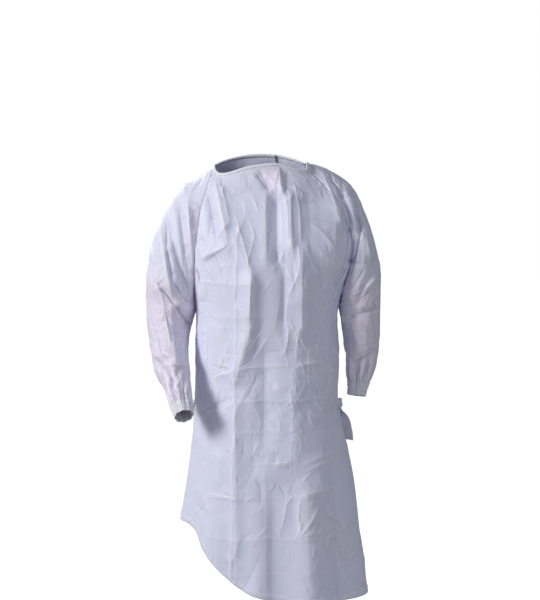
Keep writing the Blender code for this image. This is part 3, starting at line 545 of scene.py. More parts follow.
SLEEVE_CREASES = table(
    CREASE_COLUMNS,
    (-198, -81, -178, -174, 4, 10, 16, -4.0, 0.10),
    (-178, -174, -164, -238, 0, 8, 12, -3.2, 0.10),
    (-226, -126, -219, -192, 2, 12, 9, -6.0, 0.05),
    (-219, -192, -203, -270, 2, 14, 9, -8.5, 0.05),
    (-203, -270, -164, -320, -2, 9, 8, -6.0, 0.06),
    (-216, -117, -205, -192, 2, 9, 9, 2.4, 0.12),
    (-184, -95, -168, -156, 2, 9, 9, 2.4, 0.12),
    (-162, -140, -148, -224, 0, 8, 8, 2.4, 0.10),
    (-155, -238, -146, -293, 0, 6, 5, -6.0, 0.06),
    (-251, -240, -228, -311, 0, 14, 6, 5.5, 0.05),
    (-228, -311, -210, -407, -1, 14, 6, 4.5, 0.05),
    (-253, -240, -239, -281, 0, 4, 4, -2.4, 0.05),
    (-239, -279, -228, -265, 0, 4, 4, -1.8, 0.05),
    (-237, -281, -200, -322, 0, 17, 9, -10.0, 0.05),
    (-200, -322, -162, -375, 0, 17, 9, -11.0, 0.05),
    (-214, -352, -191, -384, 0, 6, 6, 1.6, 0.06),
    (-241, -393, -230, -462, 2, 10, 14, -4.0, 0.08),
    (-230, -430, -210, -448, 0, 6, 6, -1.6, 0.08),
    (-230, -453, -168, -457, 2, 7, 16, 4.0, 0.06),
    (-200, -412, -173, -453, 0, 9, 9, -2.2, 0.12),
    (-198, -457, -212, -494, 0, 6, 6, 2.2, 0.08),
    (-180, -467, -196, -512, 0, 6, 7, 2.4, 0.08),
    (-166, -480, -175, -526, 0, 5, 6, 2.0, 0.08),
    (-189, -462, -205, -508, 0, 6, 6, -2.0, 0.08),
    (-237, -462, -214, -503, 0, 7, 7, 2.0, 0.10),
    (-260, -197, -246, -224, 0, 7, 7, 1.6, 0.10),
    (155, -38, 183, -88, 3, 8, 3, -3.6, 0.05),
    (183, -88, 194, -142, 2, 8, 3, -4.0, 0.05),
    (194, -142, 190, -202, 1, 7, 3, -3.0, 0.05),
    (190, -202, 169, -279, 2, 7, 5, -3.0, 0.08),
    (203, -51, 219, -106, 2, 13, 3, -6.0, 0.05),
    (219, -106, 219, -165, 3, 15, 3, -8.0, 0.05),
    (219, -165, 192, -233, 4, 13, 3, -7.0, 0.05),
    (192, -238, 167, -288, 0, 10, 4, -5.0, 0.06),
    (228, -120, 238, -224, -2, 4, 14, 2.6, 0.06),
    (235, -192, 244, -256, 0, 7, 8, 2.4, 0.08),
    (258, -247, 228, -286, 2, 7, 8, 2.8, 0.08),
    (228, -286, 185, -304, 0, 7, 8, 2.4, 0.08),
    (228, -238, 192, -288, 3, 9, 5, -3.4, 0.08),
    (210, -224, 194, -270, 0, 6, 6, 1.8, 0.08),
    (263, -279, 238, -334, 2, 8, 9, 3.2, 0.08),
    (247, -284, 201, -325, 0, 8, 6, -3.0, 0.08),
    (251, -311, 260, -334, 0, 6, 6, -2.8, 0.08),
    (162, -352, 201, -345, -2, 7, 7, 2.6, 0.06),
    (201, -345, 258, -336, -2, 7, 7, 2.6, 0.06),
    (167, -357, 187, -416, 2, 12, 6, -6.0, 0.06),
    (201, -366, 215, -430, 0, 8, 12, 2.0, 0.12),
    (242, -352, 247, -425, 0, 8, 10, 2.6, 0.06),
    (249, -348, 256, -416, 0, 7, 7, -2.2, 0.10),
    (185, -453, 219, -441, 2, 7, 8, 3.0, 0.06),
    (219, -441, 265, -421, 0, 7, 8, 2.8, 0.06),
    (201, -453, 196, -489, 0, 6, 6, 2.0, 0.08),
    (224, -448, 219, -489, 0, 6, 6, 2.2, 0.08),
    (212, -453, 208, -489, 0, 6, 6, -2.2, 0.08),
    (242, -439, 235, -485, 0, 6, 6, -2.0, 0.08),
)
BACK_CREASES = table(
    CREASE_COLUMNS,
    (-62, -30, -40, -150, 3, 16, 10, 3.2, 0.20),
    (-100, -60, -84, -190, 4, 9, 14, -2.6, 0.30),
    (-30, -60, -22, -250, -3, 12, 16, 2.6, 0.30),
    (64, -40, 46, -170, -2, 10, 14, 3.0, 0.20),
    (104, -70, 88, -210, 3, 14, 9, -2.8, 0.30),
    (30, -90, 34, -280, 3, 16, 11, -2.4, 0.40),
    (120, -150, 70, -186, -4, 9, 6, 2.4, 0.12),
    (-124, -170, -66, -204, 4, 8, 6, 2.2, 0.12),
    (-40, -230, -86, -300, 0, 7, 11, 1.9, 0.15),
    (-10, -268, 44, -330, 3, 8, 8, 1.8, 0.15),
    (66, -236, 92, -332, -3, 12, 9, 2.4, 0.20),
    (-96, -290, -110, -420, 2, 14, 12, -2.6, 0.35),
    (-60, -330, -52, -480, -2, 12, 15, 2.6, 0.25),
    (18, -350, 12, -520, 2, 14, 12, -2.2, 0.40),
    (74, -370, 60, -500, 0, 12, 12, 2.6, 0.25),
    (-120, -470, -30, -500, -4, 8, 5, 1.9, 0.12),
    (34, -486, 128, -462, 3, 5, 8, 1.9, 0.12),
    (-96, -572, -104, -700, 3, 14, 12, 3.6, 0.25),
    (-52, -570, -58, -690, -2, 12, 10, -3.0, 0.25),
    (-14, -574, -12, -700, 2, 10, 12, 3.2, 0.20),
    (26, -572, 30, -690, 2, 10, 12, -2.8, 0.25),
    (70, -574, 84, -720, -3, 14, 12, 3.6, 0.25),
    (112, -570, 124, -690, 2, 10, 12, -2.6, 0.25),
    (-130, -690, -60, -720, 4, 8, 5, 1.7, 0.12),
    (-40, -740, 30, -722, 3, 6, 8, 1.6, 0.12),
    (-88, -760, -74, -850, -4, 8, 8, 1.8, 0.12),
    (-20, -780, -34, -880, 4, 9, 8, 1.8, 0.12),
    (60, -760, 46, -850, 5, 9, 8, 2.0, 0.12),
    (104, -780, 132, -850, 0, 8, 7, 1.6, 0.15),
    (0, -860, 90, -836, 3, 6, 8, 1.5, 0.15),
    (-110, -900, -40, -880, 0, 7, 7, 1.4, 0.20),
)

# Folds left by the pack it came in: level ones by height and upright ones by distance from the middle, with
# the stretch over which each shows, how far the cloth between stands off, and the depth of the line itself.
LEVEL_PACK_FOLDS = table(
    "height from_x to_x stands_off line tilt",
    (-268, -150, -8, 0.9, 1.1, -6.0),
    (-345, -140, 20, -0.6, 1.0, 0.0),
    (-452, 70, 150, 0.5, 0.8, 8.0),
    (-534, -58, 136, 0.9, 1.4, 6.0),
    (-602, -56, 130, -0.5, 1.1, 8.0),
    (-673, -20, 60, 0.6, 0.9, 0.0),
    (-748, -124, 160, -0.6, 1.1, 3.0),
    (-838, -130, 170, 0.7, 0.9, 0.0),
    (-916, -110, 180, -0.4, 0.8, 2.0),
)
UPRIGHT_PACK_FOLDS = table(
    "middle from_z to_z stands_off line lean",
    (-66, -150, -960, 1.2, 1.5, -14.0),
    (-22, -256, -352, 0.5, 0.9, 2.0),
    (62, -460, -700, -0.4, 0.9, -4.0),
    (4, -690, -960, 0.6, 1.0, 3.0),
    (128, -560, -940, -0.5, 0.8, -8.0),
)


def curve(rows, column, at):
    """One column of a table, read at any place on its first column, as a smooth curve through the rows."""
    places = next(iter(rows.values()))
    values = rows[column]
    if places[0] > places[-1]:
        places, values = places[::-1], values[::-1]
    slopes = np.gradient(values, places)
    at = np.clip(np.asarray(at, float), places[0], places[-1])
    row = np.clip(np.searchsorted(places, at) - 1, 0, len(places) - 2)
    step = places[row + 1] - places[row]
    t = (at - places[row]) / step
    return (
        values[row] * (1 + 2 * t) * (1 - t) ** 2
        + values[row + 1] * t * t * (3 - 2 * t)
        + slopes[row] * step * t * (1 - t) ** 2
        - slopes[row + 1] * step * t * t * (1 - t)
    )


def curves(rows, columns, at):
    """Several columns of a table, read at the same places."""
    return [curve(rows, column, at) for column in columns.split()]


def ease(value, low, high):
    """0 below low and 1 above high, with a smooth rise between them."""
    t = np.clip((value - low) / (high - low), 0, 1)
    return t * t * (3 - 2 * t)


def bell(value, width):
    """1 at 0, with a soft fall to both sides."""
    return np.exp(-((value / width) ** 2))


def lengths(vectors):
    return np.linalg.norm(vectors, axis=-1)


def unit(vectors):
    return vectors / np.maximum(lengths(vectors)[..., None], 1e-12)


def mixed(a, b, share):
    return a + (b - a) * share


def shares(count):
    """count + 1 even shares from 0 to 1."""
    return np.linspace(0, 1, count + 1)


def both_ways(count):
    """count even places from -1 to 1."""
    return np.linspace(-1, 1, count)


def fuller(value, power):
    """A sine or cosine that makes a ring fuller towards its corners."""
    return np.sign(value) * np.abs(value) ** power


def body_point(angle, height):
    """A point of the unfolded body: its angle is 0 at the front and 90 degrees at the wearer's left."""
    mid_x, mid_y, half_width, front, back = curves(BODY, "mid_x mid_y half_width front back", height)
    sine, cosine = np.sin(angle), np.cos(angle)
    x = mid_x + half_width * fuller(sine, 2 / SQUARENESS)
    y = mid_y - np.where(cosine > 0, front, back) * fuller(cosine, 2 / SQUARENESS)
    return np.stack(np.broadcast_arrays(x, y, height), -1)


def underarm_height(angle):
    return UNDERARM_MID + UNDERARM_RISE_TO_LEFT * np.sin(angle)


def front_grid():
    """The front panel, from the right side to the left, and from the neckline to the hem."""
    across = both_ways(FRONT_COLUMNS + 1)[None, :]
    underarm = underarm_height(across * math.pi / 2)
    yoke = shares(YOKE_ROWS)[:, None]
    angle = np.radians(curve(RAGLAN, "front", yoke)) * across
    rows = [body_point(angle, mixed(curve(NECK_FRONT, "height", across), underarm, yoke))]
    skirt = shares(SKIRT_ROWS)[1:, None]
    side = np.where(across < 0, curve(SIDE_SEAM, "right", skirt), curve(SIDE_SEAM, "left", skirt))
    angle = np.radians(side) * across
    rows.append(body_point(angle, mixed(underarm, curve(HEM, "height", np.degrees(angle)), skirt)))
    return np.concatenate(rows)


def back_angles(start):
    """Where a back panel's columns stand, from seam to free edge: the same in both where they overlap."""
    lap = math.pi - BACK_OVERLAP
    before = mixed(start, lap, shares(BACK_COLUMNS - LAP_COLUMNS)[None, :-1])
    within = mixed(lap, math.pi + BACK_OVERLAP, shares(LAP_COLUMNS))
    within = np.broadcast_to(within, (len(before), LAP_COLUMNS + 1))
    return np.concatenate([before, within], axis=1)


def back_grid(side):
    """A back panel, from its side seam to its free edge past the centre back, and from neckline to hem."""
    yoke = shares(YOKE_ROWS)[:, None]
    angle = back_angles(math.pi - np.radians(curve(RAGLAN, "back", yoke)))
    to_centre = (angle[:1] - angle[0, 0]) / (math.pi - angle[0, 0])
    neck = curve(NECK_BACK, "height", 1 - np.abs(1 - to_centre))
    underarm = underarm_height(SIDES[side] * angle[-1:])
    rows = [body_point(SIDES[side] * angle, mixed(neck, underarm, yoke))]
    skirt = shares(SKIRT_ROWS)[1:, None]
    angle = back_angles(np.radians(curve(SIDE_SEAM, side, skirt))) * SIDES[side]
    hem = curve(HEM, "height", (np.degrees(angle) + 180) % 360 - 180)
    rows.append(body_point(angle, mixed(underarm, hem, skirt)))
    return np.concatenate(rows)


def sleeve_grid(side, front_seam, back_seam):
    """A sleeve, round from its front seam over the arm to its back seam, and from the neckline to the cuff.

    Below the underarm its first and last columns are one line, on the inner side of the arm.
    """
    arm = 1 + shares(ARM_ROWS)[1:]
    share = np.concatenate([shares(YOKE_ROWS), arm])
    outer_x, outer_z, mid_y, front, back, cut, lean = (
        column[:, None] for column in curves(SLEEVE[side], "outer_x outer_z mid_y front back cut lean", share)
    )
    inner_x, inner_z = curves(SLEEVE_INNER[side], "inner_x inner_z", arm)
    inner_line = np.stack([inner_x, curve(SLEEVE[side], "mid_y", arm), inner_z], -1)
    cut, lean = np.radians(np.clip(cut, 0, None)), np.radians(lean)
    outer = np.concatenate([outer_x, mid_y, outer_z], -1)[:, None, :]
    round_share = shares(SLEEVE_COLUMNS // 2)[None, :]
    turn = mixed(cut, math.pi, round_share)
    reach = (1 + np.cos(turn)) / (1 + np.cos(cut))
    halves = []
    for seam, depth, way in ((front_seam, front, -1), (back_seam, back, 1)):
        start = np.concatenate([seam, inner_line])[:, None, :]
        low = start * (1, 0, 1) + outer * (0, 1, 0)
        towards = np.concatenate([0 * lean, way * np.cos(lean), -way * np.sin(lean)], -1)[:, None, :]
        points = outer + (low - outer) * reach[..., None] + towards * (depth * np.sin(turn))[..., None]
        points += (start - points[:, :1]) * ((1 - round_share) ** 2)[..., None]
        halves.append(points)
    return np.concatenate([halves[0], halves[1][:, -2::-1]], axis=1)


def joined(grids):
    """The points of all grids in one list."""
    return np.concatenate([grid.reshape(-1, 3) for grid in grids.values()])


def parted(values, grids):
    """Values on the points of all grids, given back to each grid in its own rows and columns."""
    parts = np.split(values, np.cumsum([grid[..., 0].size for grid in grids.values()])[:-1])
    return {
        name: part.reshape(grid.shape[:2] + part.shape[1:])
        for (name, grid), part in zip(grids.items(), parts)
    }


def sewn_normals(grids):
    """The normals of all grids as one sewn surface: points that lie together share one normal."""
    normals = joined({name: unit(np.cross(*np.gradient(grid, axis=(0, 1)))) for name, grid in grids.items()})
    same = np.unique(np.round(joined(grids), 6), axis=0, return_inverse=True)[1].reshape(-1)
    total = np.zeros((same.max() + 1, 3))
    np.add.at(total, same, normals)
    return parted(unit(total)[same], grids)


def round_the_neck(grids):
    """Takes the corners out of the neckline, from the free edges inwards, and eases the cloth below it."""
    tops = {name: grids[name][:1] for name in NECKLINE_ORDER}
    top = joined(tops)
    marks = along_seam(top)
    weights = bell(marks[:, None] - marks, NECK_EVENED) * np.gradient(marks)
    moved = weights @ top / weights.sum(axis=1, keepdims=True) - top
    moved *= ease(np.minimum(marks, marks[-1] - marks), *NECK_FREE_EDGE)[:, None]
    for name, step in parted(moved, tops).items():
        eased = 1 - ease(lengths(grids[name] - grids[name][0]), *NECK_EASED)
        grids[name] = grids[name] + step * eased[..., None]


def along_seam(points):
    """How far along a seam each of its points is."""
    return np.append(0, np.cumsum(lengths(np.diff(points, axis=0))))


def from_edge(grid, axis, edge):
    """How far each point of a grid is, along the cloth, from its first (0) or last (-1) row or column."""
    steps = lengths(np.diff(grid, axis=axis))
    steps = np.flip(steps, axis) if edge else steps
    away = np.concatenate([0 * steps.take([0], axis), np.cumsum(steps, axis=axis)], axis=axis)
    return np.flip(away, axis) if edge else away


def down_shares(name):
    """How far down each row of a panel is: 0 at the neckline, 1 at the underarm, 2 at the hem or the cuff."""
    low = ARM_ROWS if name.startswith("sleeve") else SKIRT_ROWS
    return np.concatenate([shares(YOKE_ROWS), 1 + shares(low)[1:]])[:, None]


def fold_height(folds, points):
    """How far a table of folds moves each point, as seen from the front or the back."""
    moved = np.zeros(points.shape[:-1])
    for x_top, z_top, x_low, z_low, width, depth in zip(*folds.values()):
        run = np.array([x_low - x_top, z_low - z_top])
        length = np.linalg.norm(run)
        offset = points[..., ::2] - (x_top, z_top)
        along = offset @ run / length**2
        aside = (offset[..., 0] * run[1] - offset[..., 1] * run[0]) / length
        ends = ease(along, -0.05, 0.2) * (1 - ease(along, 0.8, 1.05))
        moved += depth * ends / (1 + (aside / width) ** 2) ** 2
    return moved


def large_folds(name, grid, normals):
    """The folds that the solids have too, with the flutes of the hem and the gathers above the cuffs."""
    down = down_shares(name)
    across = shares(grid.shape[1] - 1)[None, :]
    below_binding = np.clip((down - BOUND_SHARE) / (SOLID_SECOND_ROW - BOUND_SHARE), 0, 1)
    facing = ease(-normals[..., 1], *FOLDS_FACE)
    if name.startswith("sleeve"):
        folds = fold_height(SLEEVE_FOLDS[name.split("_")[1]], grid)
        height = facing * folds - (1 - facing) * ARM_BACK_FOLDS * folds
        arm = np.clip(down - 1, 0, 1)
        to_seam = np.clip(np.minimum(across, 1 - across) * SOLID_FRONT_COLUMNS / FADE_COLUMNS, 0, 1)
        low = np.clip((arm * SOLID_ARM_ROWS - 1) / FADE_ROWS, 0, 1)
        gathers = np.cos(2 * math.pi * CUFF_GATHERS * across) * ease(arm, 0.55, 0.95) * CUFF_GATHER_DEPTH
        return height * np.maximum(to_seam, low) * below_binding * (1 - ease(arm, 0.8, 1.0)) + gathers
    angle = np.arctan2(grid[..., 0], -grid[..., 1])
    flutes = np.cos(HEM_FLUTES * angle + 0.7) * ease(-grid[..., 2], 0.60, 1.0) * HEM_FLUTE_DEPTH
    height = facing * fold_height(FRONT_FOLDS, grid) + (1 - facing) * fold_height(BACK_FOLDS, grid)
    to_seam = np.clip((down - 1) * SOLID_SKIRT_ROWS / FADE_ROWS, 0, 1)
    inset = {
        "front": np.minimum(across, 1 - across) * SOLID_FRONT_COLUMNS,
        "back_left": across * SOLID_BACK_COLUMNS,
        "back_right": (1 - across) * SOLID_BACK_COLUMNS,
    }[name] / FADE_COLUMNS
    height = (height + flutes) * np.clip(np.maximum(inset, to_seam), 0, 1) * below_binding
    if name == "back_left":
        lifted = SOLID_BACK_COLUMNS - SOLID_LAP_COLUMNS
        height = height + OVERLAP_LIFT * ease(across * SOLID_BACK_COLUMNS, LAP_RISES_FROM, lifted)
    return height


def note_line(lines, near, aside, steep):
    """Notes one crease's line, in the first layer that has no other line close by.

    The lines say how far aside each point is from a crease, and how steep the crease is there.
    """
    close = np.abs(aside) < LINE_REACH
    place, aside = near[close], aside[close]
    if not len(place):
        return
    steep = steep[close] * (1 - ease(np.abs(aside), 0.55 * LINE_REACH, LINE_REACH))
    taken = np.abs(lines["steep"][place]).max(axis=0)
    layer = int(np.argmin(np.where(taken < LINE_LEAST, 0, taken)))
    stronger = np.abs(steep) > np.abs(lines["steep"][place, layer])
    lines["aside"][place[stronger], layer] = aside[stronger]
    lines["steep"][place[stronger], layer] = steep[stronger]


def between(value, one, other, margin):
    return (value > min(one, other) - margin) & (value < max(one, other) + margin)


def crease_height(creases, x, z, seen, lines, gain):
    """How far a table of creases moves each place, with straight flanks that meet in a line."""
    moved = np.zeros(x.shape)
    for *sizes, depth, soft in zip(*creases.values()):
        x_top, z_top, x_low, z_low, bend, left, right, depth = (MM * size for size in (*sizes, depth * gain))
        reach = 4 * max(left, right) + abs(bend)
        near = between(x, x_top, x_low, reach) & between(z, z_top, z_low, reach)
        if not near.any():
            continue
        run_x, run_z = x_low - x_top, z_low - z_top
        length = math.hypot(run_x, run_z)
        off_x, off_z = x[near] - x_top, z[near] - z_top
        along = (off_x * run_x + off_z * run_z) / length**2
        inside = np.clip(along, 0, 1)
        aside = (off_z * run_x - off_x * run_z) / length - bend * 4 * inside * (1 - inside)
        width = np.where(aside < 0, left, right)
        fall = np.exp(soft - np.sqrt((aside / width) ** 2 + soft**2))
        ends = ease(along, -0.12, 0.25) * (1 - ease(along, 0.75, 1.12))
        moved[near] += depth * fall * ends
        steep = depth * (1 / left + 1 / right) / 2 * (1 - 1.6 * soft)
        note_line(lines, np.nonzero(near)[0], aside, steep * ends * seen[near])
    return moved * seen


def as_creases(folds):
    """The crisp edges of the large folds: a ridge falls steeply to the right, and a trough rises gently."""
    x_top, z_top, x_low, z_low, width, depth = (1000 * folds[name] for name in FOLD_COLUMNS.split())
    steep, gentle = (share * width for share in EDGE_FLANKS)
    left, right = np.where(depth > 0, (gentle, steep), (steep, gentle))
    straight = 0 * width
    values = (x_top, z_top, x_low, z_low, straight, left, right, depth * EDGE_DEPTH, straight + EDGE_SOFTNESS)
    return dict(zip(CREASE_COLUMNS.split(), values))


def pack_fold(at, run, start, end, line, stands_off, widths):
    """One fold of the pack between two ends: a fine line, in a wider stretch that stands off a little."""
    low, high = sorted((start, end))
    shown = ease(run, low - PACK_FADE, low + PACK_FADE) * (1 - ease(run, high - PACK_FADE, high + PACK_FADE))
    return shown * (line * np.exp(-np.abs(at) / widths[0]) + stands_off * np.exp(-np.abs(at) / widths[1]))


def pack_fold_height(x, z):
    """The level and upright folds of the pack, none of which runs quite straight."""
    moved = np.zeros(x.shape)
    wander = 0.0016 * np.sin(x / 0.021 + 1.3) + 0.0011 * np.sin(x / 0.0077)
    for height, start, end, stands_off, line, tilt in MM * np.array([*LEVEL_PACK_FOLDS.values()]).T:
        at = z - height - tilt * (x - start) / (end - start) - wander
        moved += pack_fold(at, x, start, end, line, stands_off, LEVEL_FOLD_WIDTHS)
    wander = 0.0012 * np.sin(z / 0.033 + 0.4) + 0.0009 * np.sin(z / 0.0091)
    for middle, start, end, stands_off, line, lean in MM * np.array([*UPRIGHT_PACK_FOLDS.values()]).T:
        at = x - middle + lean * (0.5 - np.clip((z - start) / (end - start), 0, 1)) - wander
        moved += pack_fold(at, z, start, end, line, stands_off, UPRIGHT_FOLD_WIDTHS)
    return moved


def patchy(points):
    """From 0, where the cloth is smooth, to 1, where it is crumpled most."""
    x, y, z = points.T
    drift = np.sin(x / 0.071 + 1.9 * np.sin(z / 0.13))
    drift = drift + np.sin(z / 0.093 - 1.2 * np.sin(x / 0.055 + y / 0.08) + 0.7)
    return ease(drift / 2, -0.7, 0.6)


def crumple_height(points, normals, lines, seed, count, length, width, depth):
    """Short creases scattered over the whole gown, each in its own direction and of its own size."""
    draw = np.random.default_rng(seed)
    moved = np.zeros(len(points))
    order = np.argsort(points[:, 2])
    heights = points[order, 2]
    chance = CRUMPLES_LEAST + patchy(points)
    chosen = draw.choice(len(points), size=count, p=chance / chance.sum())
    turns = draw.uniform(0, 2 * math.pi, count)
    turns = np.where(draw.random(count) < CRUMPLES_UPRIGHT, math.pi / 2 + 0.5 * np.sin(turns), turns)
    spread = draw.uniform(0.5, 1.5, (count, 4))
    signs = np.where(draw.random(count) < CRUMPLES_RAISED, 1, -1)
    for pick, turn, sizes, sign in zip(chosen, turns, spread, signs):
        centre, out = points[pick], normals[pick]
        level = unit(np.cross(out, (0.03, 0.02, 1.0)))
        way = level * math.cos(turn) + np.cross(out, level) * math.sin(turn)
        half = length * sizes[0] / 2
        left, right = width * sizes[1], width * sizes[2]
        reach = half + 2 * width
        band = order[slice(*np.searchsorted(heights, (centre[2] - reach, centre[2] + reach)))]
        near = band[(np.abs(points[band] - centre) < reach).all(1)]
        offset = points[near] - centre
        along = np.abs(offset @ way) / half
        aside = offset @ np.cross(out, way) + CRUMPLE_BEND * half * (along**2)
        flank = aside / np.where(aside < 0, left, right)
        fall = np.exp(CRUMPLE_SOFTNESS - np.sqrt(flank**2 + CRUMPLE_SOFTNESS**2))
        shown = sign * sizes[3] * (1 - ease(along, 0.3, 1.1)) * np.clip(normals[near] @ out, 0, 1)
        moved[near] += depth * fall * shown
        note_line(lines, near, aside, shown * depth * (1 / left + 1 / right) / 2)
    return moved


def seam_height(name, grid):
    """The small valley of each seam with the cloth drawn up beside it, and the folded hem and free edges."""
    height = np.zeros(grid.shape[:2])
    free_edge = {"back_left": -1, "back_right": 0}.get(name)
    for edge in (0, -1):
        away = from_edge(grid, 1, edge)
        if edge == free_edge:
            height += FREE_EDGE_LIFT[name] * (1 - ease(away, 0.009, 0.012))
            continue
        marks = along_seam(grid[:, edge])[:, None]
        drawn = 0.65 + 0.35 * np.sin(marks / 0.0042 + 2 * np.sin(marks / 0.031))
        height -= SEAM_SINKS * bell(away, 0.0022)
        height += SEAM_PUCKERS * drawn * bell(away - 0.0065, 0.0036)
    if not name.startswith("sleeve"):
        to_hem = from_edge(grid, 0, -1)
        marks = along_seam(grid[-1])[None, :]
        pulled = 1 + np.sin(marks / 0.0062 + 1.5 * np.sin(marks / 0.045))
        height += HEM_LIFT * (1 - ease(to_hem, HEM_DEPTH - 0.003, HEM_DEPTH))
        height += HEM_PUCKERS * pulled * bell(to_hem - HEM_DEPTH, 0.004)
        height -= HEM_SINKS * np.exp(-(to_hem / 0.003))
    return height * ease(down_shares(name), 0.02, 0.06)


def cuff_gathers(name, grid):
    """Fine uneven gathers where the elastic draws the sleeve's end together."""
    arm = np.clip(down_shares(name) - 1, 0, 1)
    turn = 2 * math.pi * shares(grid.shape[1] - 1)[None, :]
    fine = np.sin(19 * turn + 0.8) + 0.6 * np.sin(27 * turn + 2.0)
    low = ease(arm, 0.86, 1.0)
    broad = np.sin(11 * turn + 1.1 + 1.4 * arm) * ease(arm, 0.62, 0.9) * (1 - 0.5 * low)
    return 0.0007 * fine * low + 0.0013 * broad


def cut_grids():
    """The panels as cut and sewn, with their large folds."""
    front = front_grid()
    grids = {"front": front}
    for side, sign in SIDES.items():
        back = back_grid(side)
        seam = front[: YOKE_ROWS + 1, 0 if sign < 0 else -1]
        sleeve = sleeve_grid(side, seam, back[: YOKE_ROWS + 1, 0])
        grids[f"back_{side}"] = back[:, ::sign]
        grids[f"sleeve_{side}"] = sleeve[:, ::sign]
    round_the_neck(grids)
    normals = sewn_normals(grids)
    for name, grid in grids.items():
        grids[name] = grid + normals[name] * large_folds(name, grid, normals[name])[..., None]
    return grids


def all_creases(grids, normals):
    """How far the creases move each panel's points, and their lines as noted on the points."""
    points, flat = joined(grids), joined(normals)
    x, z = points[:, 0], points[:, 2]
    facing, from_behind = (ease(way * flat[:, 1], *CREASES_FACE) for way in (-1, 1))
    lines = {"aside": np.zeros((len(points), LINE_LAYERS)), "steep": np.zeros((len(points), LINE_LAYERS))}
    placed_by_hand = [
        (FRONT_CREASES, facing, FRONT_GAIN),
        (SLEEVE_CREASES, facing, 1.0),
        (BACK_CREASES, from_behind, BACK_GAIN),
        (SLEEVE_CREASES, from_behind, ARM_BACK_GAIN),
        (as_creases(FRONT_FOLDS), facing, 1.0),
        (as_creases(BACK_FOLDS), from_behind, 1.0),
    ]
    placed_by_hand += [(as_creases(folds), facing + from_behind, 1.0) for folds in SLEEVE_FOLDS.values()]
    moved = sum(crease_height(creases, x, z, seen, lines, gain) for creases, seen, gain in placed_by_hand)
    for seed, count, *sizes in zip(*CRUMPLES.values()):
        moved += crumple_height(points, flat, lines, int(seed), int(count), *sizes)
    return parted(moved, grids), {kind: parted(values, grids) for kind, values in lines.items()}


def cloth_surfaces():
    """The finished outer surface of every panel, its normals, and what the finishes read from its points.

    How far aside a point is from a crease is given in millimetres.
    """
    grids = cut_grids()
    normals = sewn_normals(grids)
    moved, lines = all_creases(grids, normals)
    finished = {}
    for name, grid in grids.items():
        height, down = moved[name], down_shares(name)
        if name.startswith("sleeve"):
            height = height * (1 - 0.7 * ease(down, 1.88, 2.0)) + cuff_gathers(name, grid)
        else:
            away = np.minimum(from_edge(grid, 1, 0), from_edge(grid, 1, -1))
            height = height + pack_fold_height(grid[..., 0], grid[..., 2]) * ease(away, 0.004, 0.03)
        height = height * ease(down, 0.015, 0.08) + seam_height(name, grid)
        finished[name] = grid + normals[name] * height[..., None]
    normals = sewn_normals(finished)
    marks = {
        name: {
            # The bend of the cloth drives its colour: painted shade in the hollows, and lighter ridges,
            # partly whitened film and partly painted highlight
            "crease": crease_sharpness(grid, normals[name]),
            "warmth": warmth(name, grid),
            "aside": 1000 * lines["aside"][name],
            "steep": lines["steep"][name],
        }
        for name, grid in finished.items()
    }
    return finished, normals, marks


def warmth(name, grid):
    """How far the cool white turns warm: down the sleeves, at the right armpit and mid neckline."""
    x, z = grid[..., 0], grid[..., 2]
    if name.startswith("sleeve"):
        return 0.85 * ease(-z, 0.12, 0.36) + 0.7 * bell(x + 0.150, 0.02) * bell(z + 0.15, 0.07)
    return (0.8 if name == "front" else 0.0) * bell(x - 0.022, 0.03) * bell(z + 0.03, 0.03)


def crease_sharpness(grid, normals):
    """Above 0 on a ridge and below 0 in a trough, by how sharply the cloth bends there."""
    bend = np.zeros(grid.shape[:2])
    for axis in (0, 1):
        ahead, behind = np.roll(grid, -1, axis=axis), np.roll(grid, 1, axis=axis)
        span = lengths(ahead - behind) / 2
        turn = ((grid - (ahead + behind) / 2) * normals).sum(-1) / np.maximum(span, 1e-4) ** 2
        edges = [0, -1] if axis == 0 else (slice(None), [0, -1])
        turn[edges] = 0
        bend += turn
    return np.clip(bend / SHARPEST_BEND, -1, 1)


# ---------------------------------------------------------------------------
# Meshes
# ---------------------------------------------------------------------------


def collection_object(name, data):
    made = bpy.data.objects.new(name, data)
    bpy.context.scene.collection.objects.link(made)
    return made


def quads_of(index):
    """The corners of every quad of a grid."""
    return np.stack([index[:-1, :-1], index[1:, :-1], index[1:, 1:], index[:-1, 1:]], -1).reshape(-1, 4)


def grid_object(name, points, finish, marks=None, closed_from=None, thickness=CLOTH_THICKNESS):
    """A grid of points as a thin shell, with its lengths in metres as its UV map.

    From the row closed_from on, its first and last columns are one line.
    """
    rows, columns = points.shape[:2]
    index = np.arange(rows * columns).reshape(rows, columns)
    corners = quads_of(index).reshape(-1)
    if closed_from is not None:
        index[closed_from:, -1] = index[closed_from:, 0]
    used, quads = np.unique(quads_of(index), return_inverse=True)
    mesh = bpy.data.meshes.new(name)
    mesh.from_pydata(points.reshape(-1, 3)[used].tolist(), [], quads.reshape(-1, 4).tolist())
    u = np.broadcast_to(along_seam(points[rows // 2])[None, :], (rows, columns))
    v = np.broadcast_to(along_seam(points[:, columns // 2])[:, None], (rows, columns))
    uv = np.stack([u, -v], -1).reshape(-1, 2)[corners]
    mesh.uv_layers.new(name="cut").data.foreach_set("uv", uv.reshape(-1))
    for kind, values in (marks or {}).items():
        values = values.reshape(rows * columns, -1)[used].astype(np.float32)
        if kind in ("crease", "warmth"):
            mesh.attributes.new(kind, "FLOAT", "POINT").data.foreach_set("value", values.reshape(-1))
            continue
        for layer in range(0, LINE_LAYERS, 3):
            attribute = mesh.attributes.new(f"{kind}_{layer}", "FLOAT_VECTOR", "POINT")
            attribute.data.foreach_set("vector", values[:, layer : layer + 3].reshape(-1))
    mesh.shade_smooth()
    mesh.materials.append(finish)
    made = collection_object(name, mesh)
    if thickness:
        shell = made.modifiers.new("cloth thickness", "SOLIDIFY")
        shell.thickness = thickness
        shell.offset = -1
    return made


def show(made, node):
    """The piece rides on the gown and is shown in place of its solid."""
    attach(made, "root")
    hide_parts(node)


